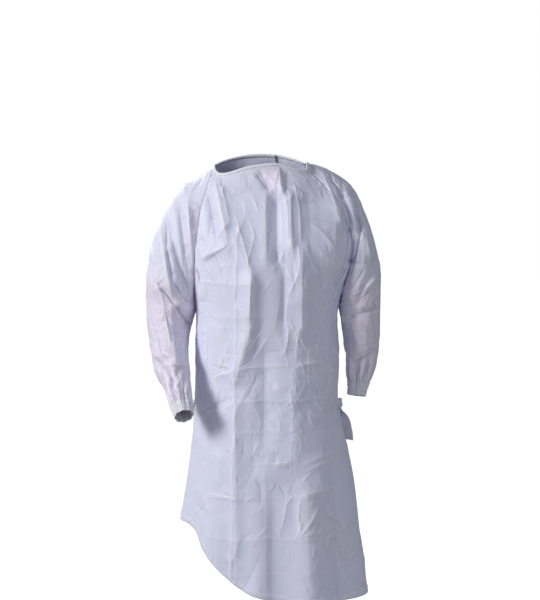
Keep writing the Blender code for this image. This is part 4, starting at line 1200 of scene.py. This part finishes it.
def build_panel(name, grids, marks):
    """One panel of the gown."""
    closed_from = YOKE_ROWS if name.startswith("sleeve") else None
    made = grid_object(f"gown_{name}", grids[name], FINISHES["coated_cloth"], marks[name], closed_from)
    show(made, name)


def smoothed(line, times):
    """A line of points evened out along its length, with its ends kept."""
    line = line.copy()
    for _ in range(times):
        line[1:-1] = (line[:-2] + 2 * line[1:-1] + line[2:]) / 4
    return line


def read_along(line, marks, start, end, count):
    """Even points of a line, between two distances along it."""
    at = np.linspace(start, end, count)
    return np.stack([np.interp(at, marks, line[:, axis]) for axis in range(3)], -1)


def neckline(grids, normals):
    """The neckline from the right back's free edge to the left back's: points, ways down and ways out."""
    rows = []
    for name in NECKLINE_ORDER:
        keep = slice(None) if name == "back_left" else slice(None, -1)
        grid = grids[name]
        rows.append([part[keep] for part in (grid[0], unit(grid[4] - grid[0]), normals[name][0])])
    lines = [np.concatenate(parts) for parts in zip(*rows)]
    marks = along_seam(lines[0])
    count = int(marks[-1] / BINDING_STEP)
    lines = (read_along(line, marks, 0, marks[-1], count) for line in lines)
    top, down, out = (smoothed(line, NECK_SMOOTHING) for line in lines)
    down = unit(down)
    return top, down, unit(out - (out * down).sum(-1, keepdims=True) * down)


def build_binding(grids, normals):
    """The tape folded over the neckline's raw edge, a little puckered by its row of stitches."""
    top, down, out = neckline(grids, normals)
    marks = along_seam(top)
    pucker = MM * (0.22 * np.sin(marks / 0.0016) + 0.18 * np.sin(marks / 0.0043 + 1.0))
    columns = []
    for low, high in zip(*BINDING_SECTION.values()):
        rise = MM * high + pucker * bell(low - 4.5, 3.0) * np.sign(high)
        columns.append(top + down * (MM * low) + out * rise[:, None])
    rings = np.stack(columns[::-1], axis=1)
    middle = rings.mean(axis=1, keepdims=True) + 0 * rings
    rings = np.concatenate([middle[:1], rings, middle[-1:]])
    made = grid_object("neck_tape", rings, FINISHES["tape"], thickness=BINDING_THICKNESS)
    show(made, "neck_binding")
    below, off = BINDING_STITCH
    return top + down * below + out * off


def build_cuff(side, sleeve):
    """An elastic cuff: the sleeve's end gathered small on three rows of elastic."""
    end = sleeve[-1]
    middle = end[:-1].mean(0)
    axis = unit(middle - sleeve[-15][:-1].mean(0))
    spread = end - middle
    out = unit(spread - (spread @ axis)[:, None] * axis)
    kernel = np.hanning(31) / np.hanning(31).sum()
    thrice = np.tile(spread[:-1], (3, 1))
    evened = np.stack([np.convolve(line, kernel, "same") for line in thrice.T], -1)
    evened = evened[SLEEVE_COLUMNS : 2 * SLEEVE_COLUMNS + 1]
    turn = 2 * math.pi * shares(SLEEVE_COLUMNS)
    rings, stitch_rows = [], []
    for share in shares(CUFF_RINGS):
        pinch = sum(bell(share - at, 0.07) for at in CUFF_PULLS)
        drawn = 1 - CUFF_TAPER * share - CUFF_PINCH * pinch
        gather = np.sin(31 * turn + 2.0 * math.sin(9 * share)) + 0.7 * np.sin(23 * turn + 1.3 + 2 * share)
        wave = MM * (0.35 + 0.25 * (1 - pinch)) * gather
        ring = middle + mixed(spread, evened, 0.75 * share) * drawn + out * wave[:, None]
        rings.append(ring + axis * (CUFF_LENGTH * share))
        if min(abs(share - at) for at in CUFF_STITCHED) < 0.01:
            stitch_rows.append(rings[-1] + out * CUFF_STITCH_LIFT)
    finish = FINISHES["elastic_cuff"]
    made = grid_object(f"elastic_cuff_{side}", np.array(rings), finish, None, 0, CUFF_THICKNESS)
    show(made, f"cuff_{side}")
    return stitch_rows


def at_height(grid, values, height):
    """Values on a grid's points, read where each of its columns crosses a height."""
    found = []
    for column, value in zip(grid.transpose(1, 0, 2), values.transpose(1, 0, 2)):
        row = int(np.nonzero(column[:, 2] > height)[0][-1])
        share = (height - column[row, 2]) / (column[row + 1, 2] - column[row, 2])
        found.append(mixed(value[row], value[row + 1], share))
    return np.array(found)


def round_the_back(grids, normals, height):
    """A line round the back at a height, as it lies on the panels, from the left side seam to the right."""
    points, outward = [], []
    for name, keep in (("back_left", slice(None)), ("back_right", slice(LAP_COLUMNS + 2, None))):
        points.append(at_height(grids[name], grids[name], height)[keep])
        outward.append(at_height(grids[name], normals[name], height)[keep])
    return np.concatenate(points), unit(smoothed(np.concatenate(outward), OUTWARD_SMOOTHING))


def lie_on(line, outward, gap):
    """A tape's line over the cloth: it spans the hollows and touches the ridges."""
    taut = smoothed(line, TIE_SMOOTHING)
    for _ in range(3):
        short = ((line - taut) * outward).sum(-1)
        taut = smoothed(taut + outward * np.maximum(short, 0)[:, None], 2)
    return taut + outward * gap


def build_ties(grids, normals):
    """Two waist ties, from the side seams to behind the left hip. Gives the knot's place and way out."""
    rows = []
    for share in both_ways(TIE_ROWS):
        line, outward = round_the_back(grids, normals, WAIST + share * TIE_WIDTH / 2)
        rows.append((lie_on(line, outward, TIE_GAP), outward))
    middle, outward = rows[TIE_ROWS // 2]
    marks = along_seam(middle)
    half = KNOT_SIZE[0] / 2
    across = both_ways(TIE_ROWS)[:, None]
    for side, start, end in (
        ("left", TIE_FROM_SEAM, KNOT_FROM_SEAM - half),
        ("right", KNOT_FROM_SEAM + half, marks[-1] - TIE_FROM_SEAM),
    ):
        count = TIE_COLUMNS[side]
        lines = np.array([read_along(line, marks, start, end, count) for line, _ in rows])
        out = read_along(outward, marks, start, end, count)
        to_knot = np.linspace(0, end - start, count)[:: -SIDES[side]]
        drawn = ease(to_knot, 0, TIE_DRAWN_OVER)
        centre = lines.mean(0)
        lines = centre + (lines - centre) * mixed(TIE_AT_KNOT, 1.0, drawn)[None, :, None]
        crimp = 0.0016 * (1 - drawn) * np.cos(across * 7.0) + 0.0007 * np.sin(to_knot / 0.013 + across * 1.7)
        crimp += 0.0005 * np.sin(to_knot / 0.0052 + 2.1 * across) - 0.0004 * np.abs(across) ** 3
        points = (lines + out * (crimp[..., None] + TAPE_THICKNESS))[::-1]
        made = grid_object(f"tie_round_{side}", points, FINISHES["tape"], thickness=TAPE_THICKNESS)
        show(made, f"waist_tie_{side}")
    at_knot = marks, KNOT_FROM_SEAM, KNOT_FROM_SEAM, 1
    return read_along(middle, *at_knot)[0], unit(read_along(outward, *at_knot)[0] * (1, 1, 0))


def build_knot(place, away):
    """The knot: two flat wraps of tape drawn tight over each other."""
    up = np.array((0, 0, 1.0))
    width, depth, height = (size / 2 for size in KNOT_SIZE)
    centre = place + away * (KNOT_GAP + depth - KNOT_SINK)
    turn = 2 * math.pi * shares(KNOT_COLUMNS)[None, :]
    rise = np.linspace(0.02, math.pi - 0.02, KNOT_ROWS)[:, None]
    lump = np.sin(rise) ** 0.62
    wrap = 0.10 * np.cos(2.6 * (np.cos(rise) * 2.1 + 0.8 * np.sin(turn))) + 0.05 * np.sin(5 * turn + 4 * rise)
    reach = lump * (1 + wrap * lump)
    x = fuller(np.cos(turn), 0.8) * reach * width
    y = fuller(np.sin(turn), 0.8) * reach * depth
    z = np.cos(rise) * height + 0 * turn
    points = centre + np.cross(away, up) * x[..., None] + away * y[..., None] + up * z[..., None]
    made = grid_object("tie_wrap", points, FINISHES["tape"], None, 0, 0)
    close_ends(made)
    show(made, "tie_knot")


def close_ends(made):
    """Closes a lofted form's two open ends, and turns its faces outwards."""
    edit = bmesh.new()
    edit.from_mesh(made.data)
    bmesh.ops.holes_fill(edit, edges=[edge for edge in edit.edges if edge.is_boundary])
    bmesh.ops.recalc_face_normals(edit, faces=edit.faces)
    edit.to_mesh(made.data)
    edit.free()
    made.data.shade_smooth()


def build_free_ends(place, away):
    """The two free ends that hang from the knot, creased where they were tied."""
    down = np.array([0, 0, -1.0])
    side = np.cross(away, down)
    across = both_ways(FREE_END_COLUMNS)[None, :]
    for name, rows in FREE_ENDS.items():
        drops = np.linspace(rows["drop"][0] - FREE_END_HIDDEN, rows["drop"][-1], FREE_END_ROWS)[:, None]
        aside, out, turn, half = curves(rows, "aside out turn half_width", drops)
        turn = np.radians(turn)
        centre = place + down * drops + side * aside + away * out
        spread = side * np.cos(turn) + away * np.sin(turn)
        facing = unit(np.cross(spread, np.gradient(centre, axis=0)))
        if (facing @ away).mean() < 0:
            facing = -facing
        gathered = 1 - ease(drops - drops[0], 0, FREE_END_GATHERED)
        lift = 0.0014 * gathered * np.cos(across * 6.3) - 0.0010 * across**2
        lift = lift + 0.0011 * np.sin(drops / 0.017 + 1.4 * across + len(name))
        lift = lift + 0.0005 * np.sin(drops / 0.0058 - 2.0 * across)
        points = centre[:, None] + spread[:, None] * (half * across)[..., None]
        points = points + facing[:, None] * lift[..., None]
        mid = FREE_END_COLUMNS // 2
        if np.cross(points[1, mid] - points[0, mid], points[0, mid + 1] - points[0, mid]) @ facing[0] < 0:
            points = points[:, ::-1]
        made = grid_object(name.replace("end", "tail"), points, FINISHES["tape"], thickness=TAPE_THICKNESS)
        show(made, name)


def build_tab(grids, normals):
    """The neck tab, stuck over the free edge of the left back."""
    lines = []
    for share in both_ways(TAB_ROWS)[::-1]:
        line, outward = round_the_back(grids, normals, TAB_HEIGHT + share * TAB_WIDTH / 2)
        marks = along_seam(line)
        stretch = marks[BACK_COLUMNS] - TAB_REACH, marks[BACK_COLUMNS] + TAB_REACH, TAB_COLUMNS
        lifted = read_along(outward, marks, *stretch) * TAB_GAP
        lines.append(read_along(smoothed(line, TAB_SMOOTHING), marks, *stretch) + lifted)
    made = grid_object("neck_tab_strip", np.array(lines), FINISHES["tape"], thickness=TAPE_THICKNESS)
    show(made, "neck_tab")


# ---------------------------------------------------------------------------
# Nodes
# ---------------------------------------------------------------------------


def set_input(tree, socket, value):
    """Sets a socket to a value, or links it to another socket."""
    if isinstance(value, bpy.types.NodeSocket):
        tree.links.new(value, socket)
    else:
        socket.default_value = value


def node(tree, kind, settings=None, **inputs):
    """A node's outputs, with its inputs set or linked. Underscores in an input's name are spaces."""
    made = tree.nodes.new(kind)
    for name, value in (settings or {}).items():
        setattr(made, name, value)
    for name, value in inputs.items():
        set_input(tree, made.inputs[name.replace("_", " ")], value)
    return made.outputs


def node_group(name, kind, inputs, outputs):
    """An empty node group. Each input is named with its value or, where it has none, its kind of socket."""
    group = bpy.data.node_groups.new(name, kind)
    for socket, value in inputs.items():
        kind = {float: "Float", tuple: "Color"}.get(type(value), value)
        made = group.interface.new_socket(name=socket, in_out="INPUT", socket_type=f"NodeSocket{kind}")
        if kind != value:
            made.default_value = value
    for socket, kind in outputs.items():
        group.interface.new_socket(name=socket, in_out="OUTPUT", socket_type=f"NodeSocket{kind}")
    start, end = group.nodes.new("NodeGroupInput"), group.nodes.new("NodeGroupOutput")
    return group, start.outputs, end.inputs


# ---------------------------------------------------------------------------
# Stitches
# ---------------------------------------------------------------------------


def stitch_tree():
    """Geometry nodes that set a stitch at every pitch along each line of a mesh."""
    given_names = {"Lines": "Geometry", **STITCHES, "Finish": "Material"}
    tree, given, put = node_group(
        "stitches_along_lines", "GeometryNodeTree", given_names, {"Stitches": "Geometry"}
    )
    line = node(tree, "GeometryNodeMeshToCurve", Mesh=given["Lines"])["Curve"]
    even = node(tree, "GeometryNodeResampleCurve", {"mode": "LENGTH"}, Curve=line, Length=given["Pitch"])
    bead = node(tree, "GeometryNodeMeshUVSphere", Segments=6, Rings=4, Radius=0.5)["Mesh"]
    size = node(
        tree, "ShaderNodeCombineXYZ", X=given["Stitch length"], Y=given["Thread"], Z=given["Thread"]
    )["Vector"]
    stitch = node(tree, "GeometryNodeTransform", Geometry=bead, Scale=size)["Geometry"]
    way = node(tree, "GeometryNodeInputTangent")["Tangent"]
    turn = node(tree, "FunctionNodeAlignRotationToVector", {"axis": "X"}, Vector=way)["Rotation"]
    rows = node(
        tree, "GeometryNodeInstanceOnPoints", Points=even["Curve"], Instance=stitch, Rotation=turn
    )["Instances"]
    real = node(tree, "GeometryNodeRealizeInstances", Geometry=rows)["Geometry"]
    sewn = node(tree, "GeometryNodeSetMaterial", Geometry=real, Material=given["Finish"])["Geometry"]
    tree.links.new(sewn, put["Stitches"])
    return tree


def build_stitches(lines):
    """All stitches of the gown, as one plain mesh."""
    edges, start = [], 0
    for line in lines:
        edges += [(start + i, start + i + 1) for i in range(len(line) - 1)]
        start += len(line)
    mesh = bpy.data.meshes.new("stitch_lines")
    mesh.from_pydata(np.concatenate(lines).tolist(), edges, [])
    guide = collection_object("stitch_lines", mesh)
    modifier = guide.modifiers.new("stitches", "NODES")
    modifier.node_group = stitch_tree()
    given = {socket.name: socket.identifier for socket in modifier.node_group.interface.items_tree}
    for name, value in {**STITCHES, "Finish": FINISHES["thread"]}.items():
        modifier[given[name]] = value
    bpy.context.view_layer.update()
    made = bpy.data.meshes.new_from_object(guide.evaluated_get(bpy.context.evaluated_depsgraph_get()))
    made.name = "seam_stitches"
    bpy.data.objects.remove(guide)
    stitches = collection_object("seam_stitches", made)
    made.shade_smooth()
    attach(stitches, "root")


def seam_lines(grids, normals):
    """Where the stitches run: beside the raglan and side seams, above the hem and on one free edge."""
    raised = {name: grids[name] + normals[name] * STITCH_LIFT for name in grids}
    lines = []
    for name in ("front", "sleeve_right", "sleeve_left"):
        low = YOKE_ROWS if name.startswith("sleeve") else None
        lines += [raised[name][STITCHED_ROWS, column][:low] for column in STITCHED_COLUMNS]
    for name in ("front", "back_left", "back_right"):
        lines.append(above_hem(grids[name], normals[name], HEM_DEPTH - HEM_STITCHES_BELOW))
    return [*lines, raised["back_left"][STITCHED_ROWS, STITCHED_FREE_EDGE]]


def above_hem(grid, normal, distance):
    """A line across a panel, a given distance above its hem."""
    to_hem = from_edge(grid, 0, -1)
    line = []
    for column, away in enumerate(to_hem.T):
        row = int(np.nonzero(away > distance)[0][-1])
        share = (away[row] - distance) / (away[row] - away[row + 1])
        place = mixed(grid[row, column], grid[row + 1, column], share)
        line.append(place + normal[row, column] * STITCH_LIFT)
    return np.array(line)


# ---------------------------------------------------------------------------
# Finishes
# ---------------------------------------------------------------------------


def calculated(tree, operation, *operands, clamp=False):
    """A math node: each operand is a socket or a number."""
    made = tree.nodes.new("ShaderNodeMath")
    made.operation = operation
    made.use_clamp = clamp
    for socket, operand in zip(made.inputs, operands):
        set_input(tree, socket, operand)
    return made.outputs[0]


def blended(tree, share, first, second, way="MIX"):
    """A colour mix: the share and each colour may be a socket or a value."""
    made = tree.nodes.new("ShaderNodeMix")
    made.data_type = "RGBA"
    made.blend_type = way
    for place, operand in ((0, share), (6, first), (7, second)):
        set_input(tree, made.inputs[place], operand)
    return made.outputs[2]


def bond_group():
    """The nonwoven under the film: rows of tiny bond points, and the fibres between them."""
    group, given, put = node_group(
        "nonwoven_bonds", "ShaderNodeTree",
        {"Vector": "Vector", "Per metre": 620.0, "Fibres": 0.4},
        {"Height": "Float", "Points": "Float"},
    )
    at, often = given["Vector"], given["Per metre"]
    dots = node(
        group, "ShaderNodeTexVoronoi", {"voronoi_dimensions": "2D"}, Vector=at, Scale=often, Randomness=0.08
    )
    inside = calculated(group, "SUBTRACT", 0.34, dots["Distance"])
    inside = calculated(group, "MULTIPLY", inside, 5.0, clamp=True)
    fine = calculated(group, "MULTIPLY", often, 2.6)
    fibres = node(group, "ShaderNodeTexNoise", Vector=at, Scale=fine, Detail=4.0, Distortion=1.6)
    height = calculated(group, "MULTIPLY", fibres[0], given["Fibres"])
    group.links.new(calculated(group, "SUBTRACT", height, inside), put["Height"])
    group.links.new(inside, put["Points"])
    return group


def crackle_group():
    """Fine papery creases: a web of thin lines, stronger in some patches than in others."""
    group, given, put = node_group(
        "papery_creases", "ShaderNodeTree",
        {"Vector": "Vector", "Per metre": 34.0, "Patchiness": 0.5},
        {"Height": "Float", "Lines": "Float"},
    )
    at = given["Vector"]
    bent = node(group, "ShaderNodeTexNoise", Vector=at, Scale=18.0, Detail=3.0)["Color"]
    shift = group.nodes.new("ShaderNodeVectorMath")
    shift.operation = "MULTIPLY_ADD"
    for socket, operand in zip(shift.inputs, (bent, (0.030, 0.030, 0.030), at)):
        set_input(group, socket, operand)
    web = node(
        group, "ShaderNodeTexNoise", {"noise_type": "RIDGED_MULTIFRACTAL"},
        Vector=shift.outputs[0], Scale=given["Per metre"], Detail=2.0, Roughness=0.9,
    )[0]
    patches = node(group, "ShaderNodeTexNoise", Vector=at, Scale=9.0, Detail=2.0)[0]
    mask = calculated(group, "SUBTRACT", patches, given["Patchiness"])
    mask = calculated(group, "MULTIPLY", mask, 5.0, clamp=True)
    gain = calculated(group, "MULTIPLY_ADD", mask, 0.6, 0.4)
    group.links.new(calculated(group, "MULTIPLY", web, gain), put["Height"])
    lines = calculated(group, "MULTIPLY", calculated(group, "SUBTRACT", web, 1.1), mask, clamp=True)
    group.links.new(lines, put["Lines"])
    return group


def line_group():
    """The lines of three layers of creases: each a ridge or trough with a crisp edge, and where that is."""
    group, given, put = node_group(
        "crease_lines", "ShaderNodeTree",
        {"Aside": "Vector", "Steep": "Vector", "Reach": 4.5, "Edge": 1.3},
        {"Height": "Float", "Edges": "Float"},
    )
    aside, steep = (node(group, "ShaderNodeSeparateXYZ", Vector=given[name]) for name in ("Aside", "Steep"))
    rise = calculated(group, "MULTIPLY", given["Reach"], 0.0005)
    height = edges = 0.0
    for layer in range(3):
        away = calculated(group, "ABSOLUTE", aside[layer])
        near, thin = (
            calculated(group, "SUBTRACT", 1.0, calculated(group, "DIVIDE", away, given[name]), clamp=True)
            for name in ("Reach", "Edge")
        )
        bump = calculated(group, "MULTIPLY", calculated(group, "MULTIPLY", near, near), steep[layer])
        height = calculated(group, "MULTIPLY_ADD", bump, rise, height)
        edges = calculated(group, "MULTIPLY_ADD", thin, steep[layer], edges)
    group.links.new(height, put["Height"])
    group.links.new(edges, put["Edges"])
    return group


def film_colour_and_painted_light_group():
    """Colour of bent film: ridges lighter, partly film whitened by bending and partly a painted highlight;
    painted shade makes the hollows deeper and cooler; soft drifts between.
    """
    group, given, put = node_group(
        "bent_film_colour_and_painted_light", "ShaderNodeTree",
        {"Vector": "Vector", "Crease": 0.0, "Warmth": 0.0, "Flat": (0.8, 0.8, 0.8, 1),
         "Ridge": (0.9, 0.9, 0.9, 1), "Trough": (0.6, 0.6, 0.7, 1), "Drift": (0.8, 0.75, 0.8, 1)},
        {"Colour": "Color", "Ridges": "Float"},
    )
    drift = node(
        group, "ShaderNodeTexNoise", Vector=given["Vector"], Scale=5.5, Detail=3.0, Roughness=0.6
    )[0]
    share = calculated(group, "SUBTRACT", drift, 0.42)
    share = calculated(group, "MULTIPLY", share, 0.9)
    share = calculated(group, "ADD", share, given["Warmth"], clamp=True)
    colour = blended(group, share, given["Flat"], given["Drift"])
    # Ridges turn lighter: partly film whitened by bending, partly a painted highlight
    ridges = calculated(group, "MULTIPLY", given["Crease"], 1.1, clamp=True)
    # Painted shade in the hollows: this mask, from how sharply the cloth bends, multiplies the colour by the
    # darker, cooler trough colour
    painted_trough_shade = calculated(group, "MULTIPLY", given["Crease"], -1.0, clamp=True)
    colour = blended(group, ridges, colour, given["Ridge"])
    colour = blended(group, painted_trough_shade, colour, blended(group, 1.0, colour, given["Trough"], "MULTIPLY"))
    group.links.new(colour, put["Colour"])
    group.links.new(ridges, put["Ridges"])
    return group


def noted(tree, name):
    """A value that the cloth's points carry."""
    return node(tree, "ShaderNodeAttribute", {"attribute_name": name})


def raised(tree, height, strength, distance, **below):
    """A bump, on top of another one where Normal is given."""
    bump = node(tree, "ShaderNodeBump", Height=height, Strength=strength, Distance=distance, **below)
    return bump["Normal"]


def cloth_finish(name, groups, look):
    """A film-coated or plain nonwoven: colour by its creases, bond points, fibres and papery lines. Its
    colour holds painted shade in the hollows, and ridges and crease lines made lighter, partly as film
    whitened by bending and partly as a painted highlight.
    """
    made = bpy.data.materials.new(name)
    made.use_nodes = True
    tree = made.node_tree
    shader = tree.nodes["Principled BSDF"]
    where = node(tree, "ShaderNodeTexCoord")

    def placed(group, **inputs):
        return node(tree, "ShaderNodeGroup", {"node_tree": groups[group]}, **inputs)

    crease, warm = (noted(tree, kind)["Fac"] for kind in ("crease", "warmth"))
    colour = placed(
        "colour", Vector=where["Object"], Crease=crease, Warmth=warm,
        Flat=look["flat"], Ridge=look["ridge"], Trough=look["trough"], Drift=look["drift"],
    )
    bonds = placed("bonds", Vector=where["UV"], Per_metre=look["bonds"], Fibres=look["fibres"])
    web = placed("crackle", Vector=where["Object"], Per_metre=look["web"], Patchiness=look["patchy"])
    # Thin crease lines made lighter, towards the ridge colour: partly film whitened by bending, partly a
    # painted highlight
    painted_highlight_and_whitening = calculated(tree, "MULTIPLY", web["Lines"], look["line_whitening_and_highlight"])
    edge_height = 0.0
    for layer in range(0, LINE_LAYERS, 3):
        aside, steep = (noted(tree, f"{kind}_{layer}")["Vector"] for kind in ("aside", "steep"))
        folds = placed("lines", Aside=aside, Steep=steep)
        edge_height = calculated(tree, "ADD", folds["Height"], edge_height)
        painted_highlight_and_whitening = calculated(tree, "MULTIPLY_ADD", folds["Edges"], look["edge_whitening_and_highlight"], painted_highlight_and_whitening, clamp=True)
    rough = calculated(tree, "MULTIPLY_ADD", bonds["Points"], look["bond_gloss"], look["roughness"])
    normal = raised(tree, edge_height, 1.0, 1.0)
    normal = raised(tree, web["Height"], look["web_strength"], look["web_height"], Normal=normal)
    for socket, value in {
        "Base Color": blended(tree, painted_highlight_and_whitening, colour["Colour"], look["ridge"]),
        "Roughness": calculated(tree, "MULTIPLY_ADD", colour["Ridges"], 0.10, rough),
        "Normal": raised(tree, bonds["Height"], look["bond_strength"], 0.00012, Normal=normal),
        "Specular IOR Level": look["specular"],
        "Sheen Weight": look["sheen"],
        "Sheen Roughness": 0.5,
        "Coat Weight": look["coat"],
        "Coat Roughness": 0.32,
    }.items():
        set_input(tree, shader.inputs[socket], value)
    return made


# The ridge colour is partly film whitened by bending and partly a painted highlight; the trough colour is
# painted shade, multiplied into the hollows of the cloth
COATED_CLOTH = dict(
    flat=(0.730, 0.745, 0.900, 1), ridge=(0.880, 0.875, 0.970, 1), trough=(0.760, 0.770, 0.840, 1),
    drift=(0.775, 0.710, 0.835, 1), bonds=620.0, fibres=0.4, web=52.0, patchy=0.50, line_whitening_and_highlight=0.15,
    roughness=0.48, bond_gloss=-0.06, web_strength=0.5, web_height=0.0006, bond_strength=0.25,
    specular=0.2, sheen=0.0, coat=0.03, edge_whitening_and_highlight=1.4,
)
TAPE_CLOTH = dict(
    COATED_CLOTH, flat=(0.820, 0.815, 0.880, 1), drift=(0.830, 0.810, 0.860, 1), bonds=900.0, web=70.0,
    web_strength=0.25, roughness=0.58, coat=0.0, sheen=0.1, bond_strength=0.5,
)
ELASTIC_CLOTH = dict(
    COATED_CLOTH, flat=(0.780, 0.765, 0.840, 1), drift=(0.780, 0.755, 0.815, 1), bonds=800.0, web=90.0,
    web_strength=0.3, roughness=0.62, coat=0.0, sheen=0.15, bond_strength=0.6,
)
THREAD = dict(
    TAPE_CLOTH, flat=(0.860, 0.855, 0.900, 1), drift=(0.85, 0.84, 0.89, 1), roughness=0.7, sheen=0.2,
)


def make_finishes():
    groups = {
        "bonds": bond_group(),
        "crackle": crackle_group(),
        "colour": film_colour_and_painted_light_group(),
        "lines": line_group(),
    }
    looks = {
        "coated_cloth": COATED_CLOTH,
        "tape": TAPE_CLOTH,
        "elastic_cuff": ELASTIC_CLOTH,
        "thread": THREAD,
    }
    return {name: cloth_finish(name, groups, look) for name, look in looks.items()}


# ---------------------------------------------------------------------------
# Studio
# ---------------------------------------------------------------------------

CAMERA_PLACE = (0.014, -3.6, -0.20)
CAMERA_AIM = (0.014, 0.0, -0.312)
CAMERA_LENS = 93.9
LIT_POINT = (0.0, 0.0, -0.40)
FLOOR_HEIGHT = -1.45
FLOOR_HALF = 60.0

# Soft lights: where each stands, its width and height in metres, its power and its colour
LIGHTS = {
    "key_softbox": ((-2.95, -1.80, 1.05), 0.9, 1.1, 96.0, (1.0, 0.99, 0.98)),
    "fill_softbox": ((2.3, -3.0, 0.6), 2.6, 2.6, 12.0, (0.95, 0.97, 1.0)),
    "floor_bounce": ((1.3, -2.3, -1.25), 1.6, 1.6, 9.0, (0.97, 0.98, 1.0)),
    "back_softbox": ((-1.7, 3.2, 1.3), 1.8, 1.8, 60.0, (0.97, 0.98, 1.0)),
}


def aimed(made, place, target):
    """Sets a camera or a light down, turned towards a point."""
    made.location = place
    made.rotation_euler = (Vector(target) - made.location).to_track_quat("-Z", "Y").to_euler()
    return made


def make_camera():
    """Stands where the photograph was taken from, level with the chest."""
    lens = bpy.data.cameras.new("studio_camera")
    lens.lens = CAMERA_LENS
    lens.sensor_width = 36.0
    lens.clip_end = 200.0
    bpy.context.scene.camera = aimed(collection_object("studio_camera", lens), CAMERA_PLACE, CAMERA_AIM)


def make_lights():
    for name, (place, width, height, power, colour) in LIGHTS.items():
        light = bpy.data.lights.new(name, "AREA")
        light.shape = "RECTANGLE"
        light.size, light.size_y = width, height
        light.energy = power
        light.color = colour
        aimed(collection_object(name, light), place, LIT_POINT)


def make_world():
    """White to the camera, and a dim even light on the gown."""
    world = bpy.data.worlds.new("studio_white")
    world.use_nodes = True
    tree = world.node_tree
    tree.nodes.clear()
    mix = tree.nodes.new("ShaderNodeMixShader")
    dim = node(tree, "ShaderNodeBackground", Color=(0.86, 0.90, 1.0, 1), Strength=0.27)[0]
    white = node(tree, "ShaderNodeBackground", Color=(1, 1, 1, 1), Strength=1.0)[0]
    seen = node(tree, "ShaderNodeLightPath")["Is Camera Ray"]
    for socket, value in zip(mix.inputs, (seen, dim, white)):
        set_input(tree, socket, value)
    node(tree, "ShaderNodeOutputWorld", Surface=mix.outputs[0])
    bpy.context.scene.world = world


def make_floor():
    """A plain pale floor, at the height where the wearer stands."""
    mesh = bpy.data.meshes.new("studio_floor")
    corners = ((-1, -1), (1, -1), (1, 1), (-1, 1))
    corners = [(x * FLOOR_HALF, y * FLOOR_HALF, FLOOR_HEIGHT) for x, y in corners]
    mesh.from_pydata(corners, [], [(0, 1, 2, 3)])
    finish = bpy.data.materials.new("pale_floor")
    finish.use_nodes = True
    tree = finish.node_tree
    tree.nodes.clear()
    both = tree.nodes.new("ShaderNodeAddShader")
    seen = node(tree, "ShaderNodeLightPath")["Is Camera Ray"]
    matt = node(tree, "ShaderNodeBsdfDiffuse", Color=(0.30, 0.30, 0.30, 1))[0]
    glow = node(tree, "ShaderNodeEmission", Strength=calculated(tree, "MULTIPLY_ADD", seen, 0.95, 0.05))[0]
    for socket, value in zip(both.inputs, (matt, glow)):
        set_input(tree, socket, value)
    node(tree, "ShaderNodeOutputMaterial", Surface=both.outputs[0])
    mesh.materials.append(finish)
    collection_object("studio_floor", mesh)


# The cut of each panel laid flat: its width, its length and its area
PANEL_CUTS = {
    "front": (0.58, 0.99, 0.420),
    "back_right": (0.42, 1.00, 0.272),
    "back_left": (0.44, 1.01, 0.314),
    "sleeve_right": (0.40, 0.62, 0.183),
    "sleeve_left": (0.36, 0.58, 0.146),
}

make_camera()
FINISHES = make_finishes()
make_lights()
make_world()
make_floor()
bpy.context.scene.view_settings.view_transform = "Standard"

surfaces, outward, creased = cloth_surfaces()
for panel in PANEL_CUTS:
    build_panel(panel, surfaces, creased)
rows_of_stitches = seam_lines(surfaces, outward)
rows_of_stitches.append(build_binding(surfaces, outward))
for wrist in SIDES:
    rows_of_stitches += build_cuff(wrist, surfaces[f"sleeve_{wrist}"])
knot_place, knot_way = build_ties(surfaces, outward)
build_knot(knot_place, knot_way)
build_free_ends(knot_place, knot_way)
build_tab(surfaces, outward)
build_stitches(rows_of_stitches)
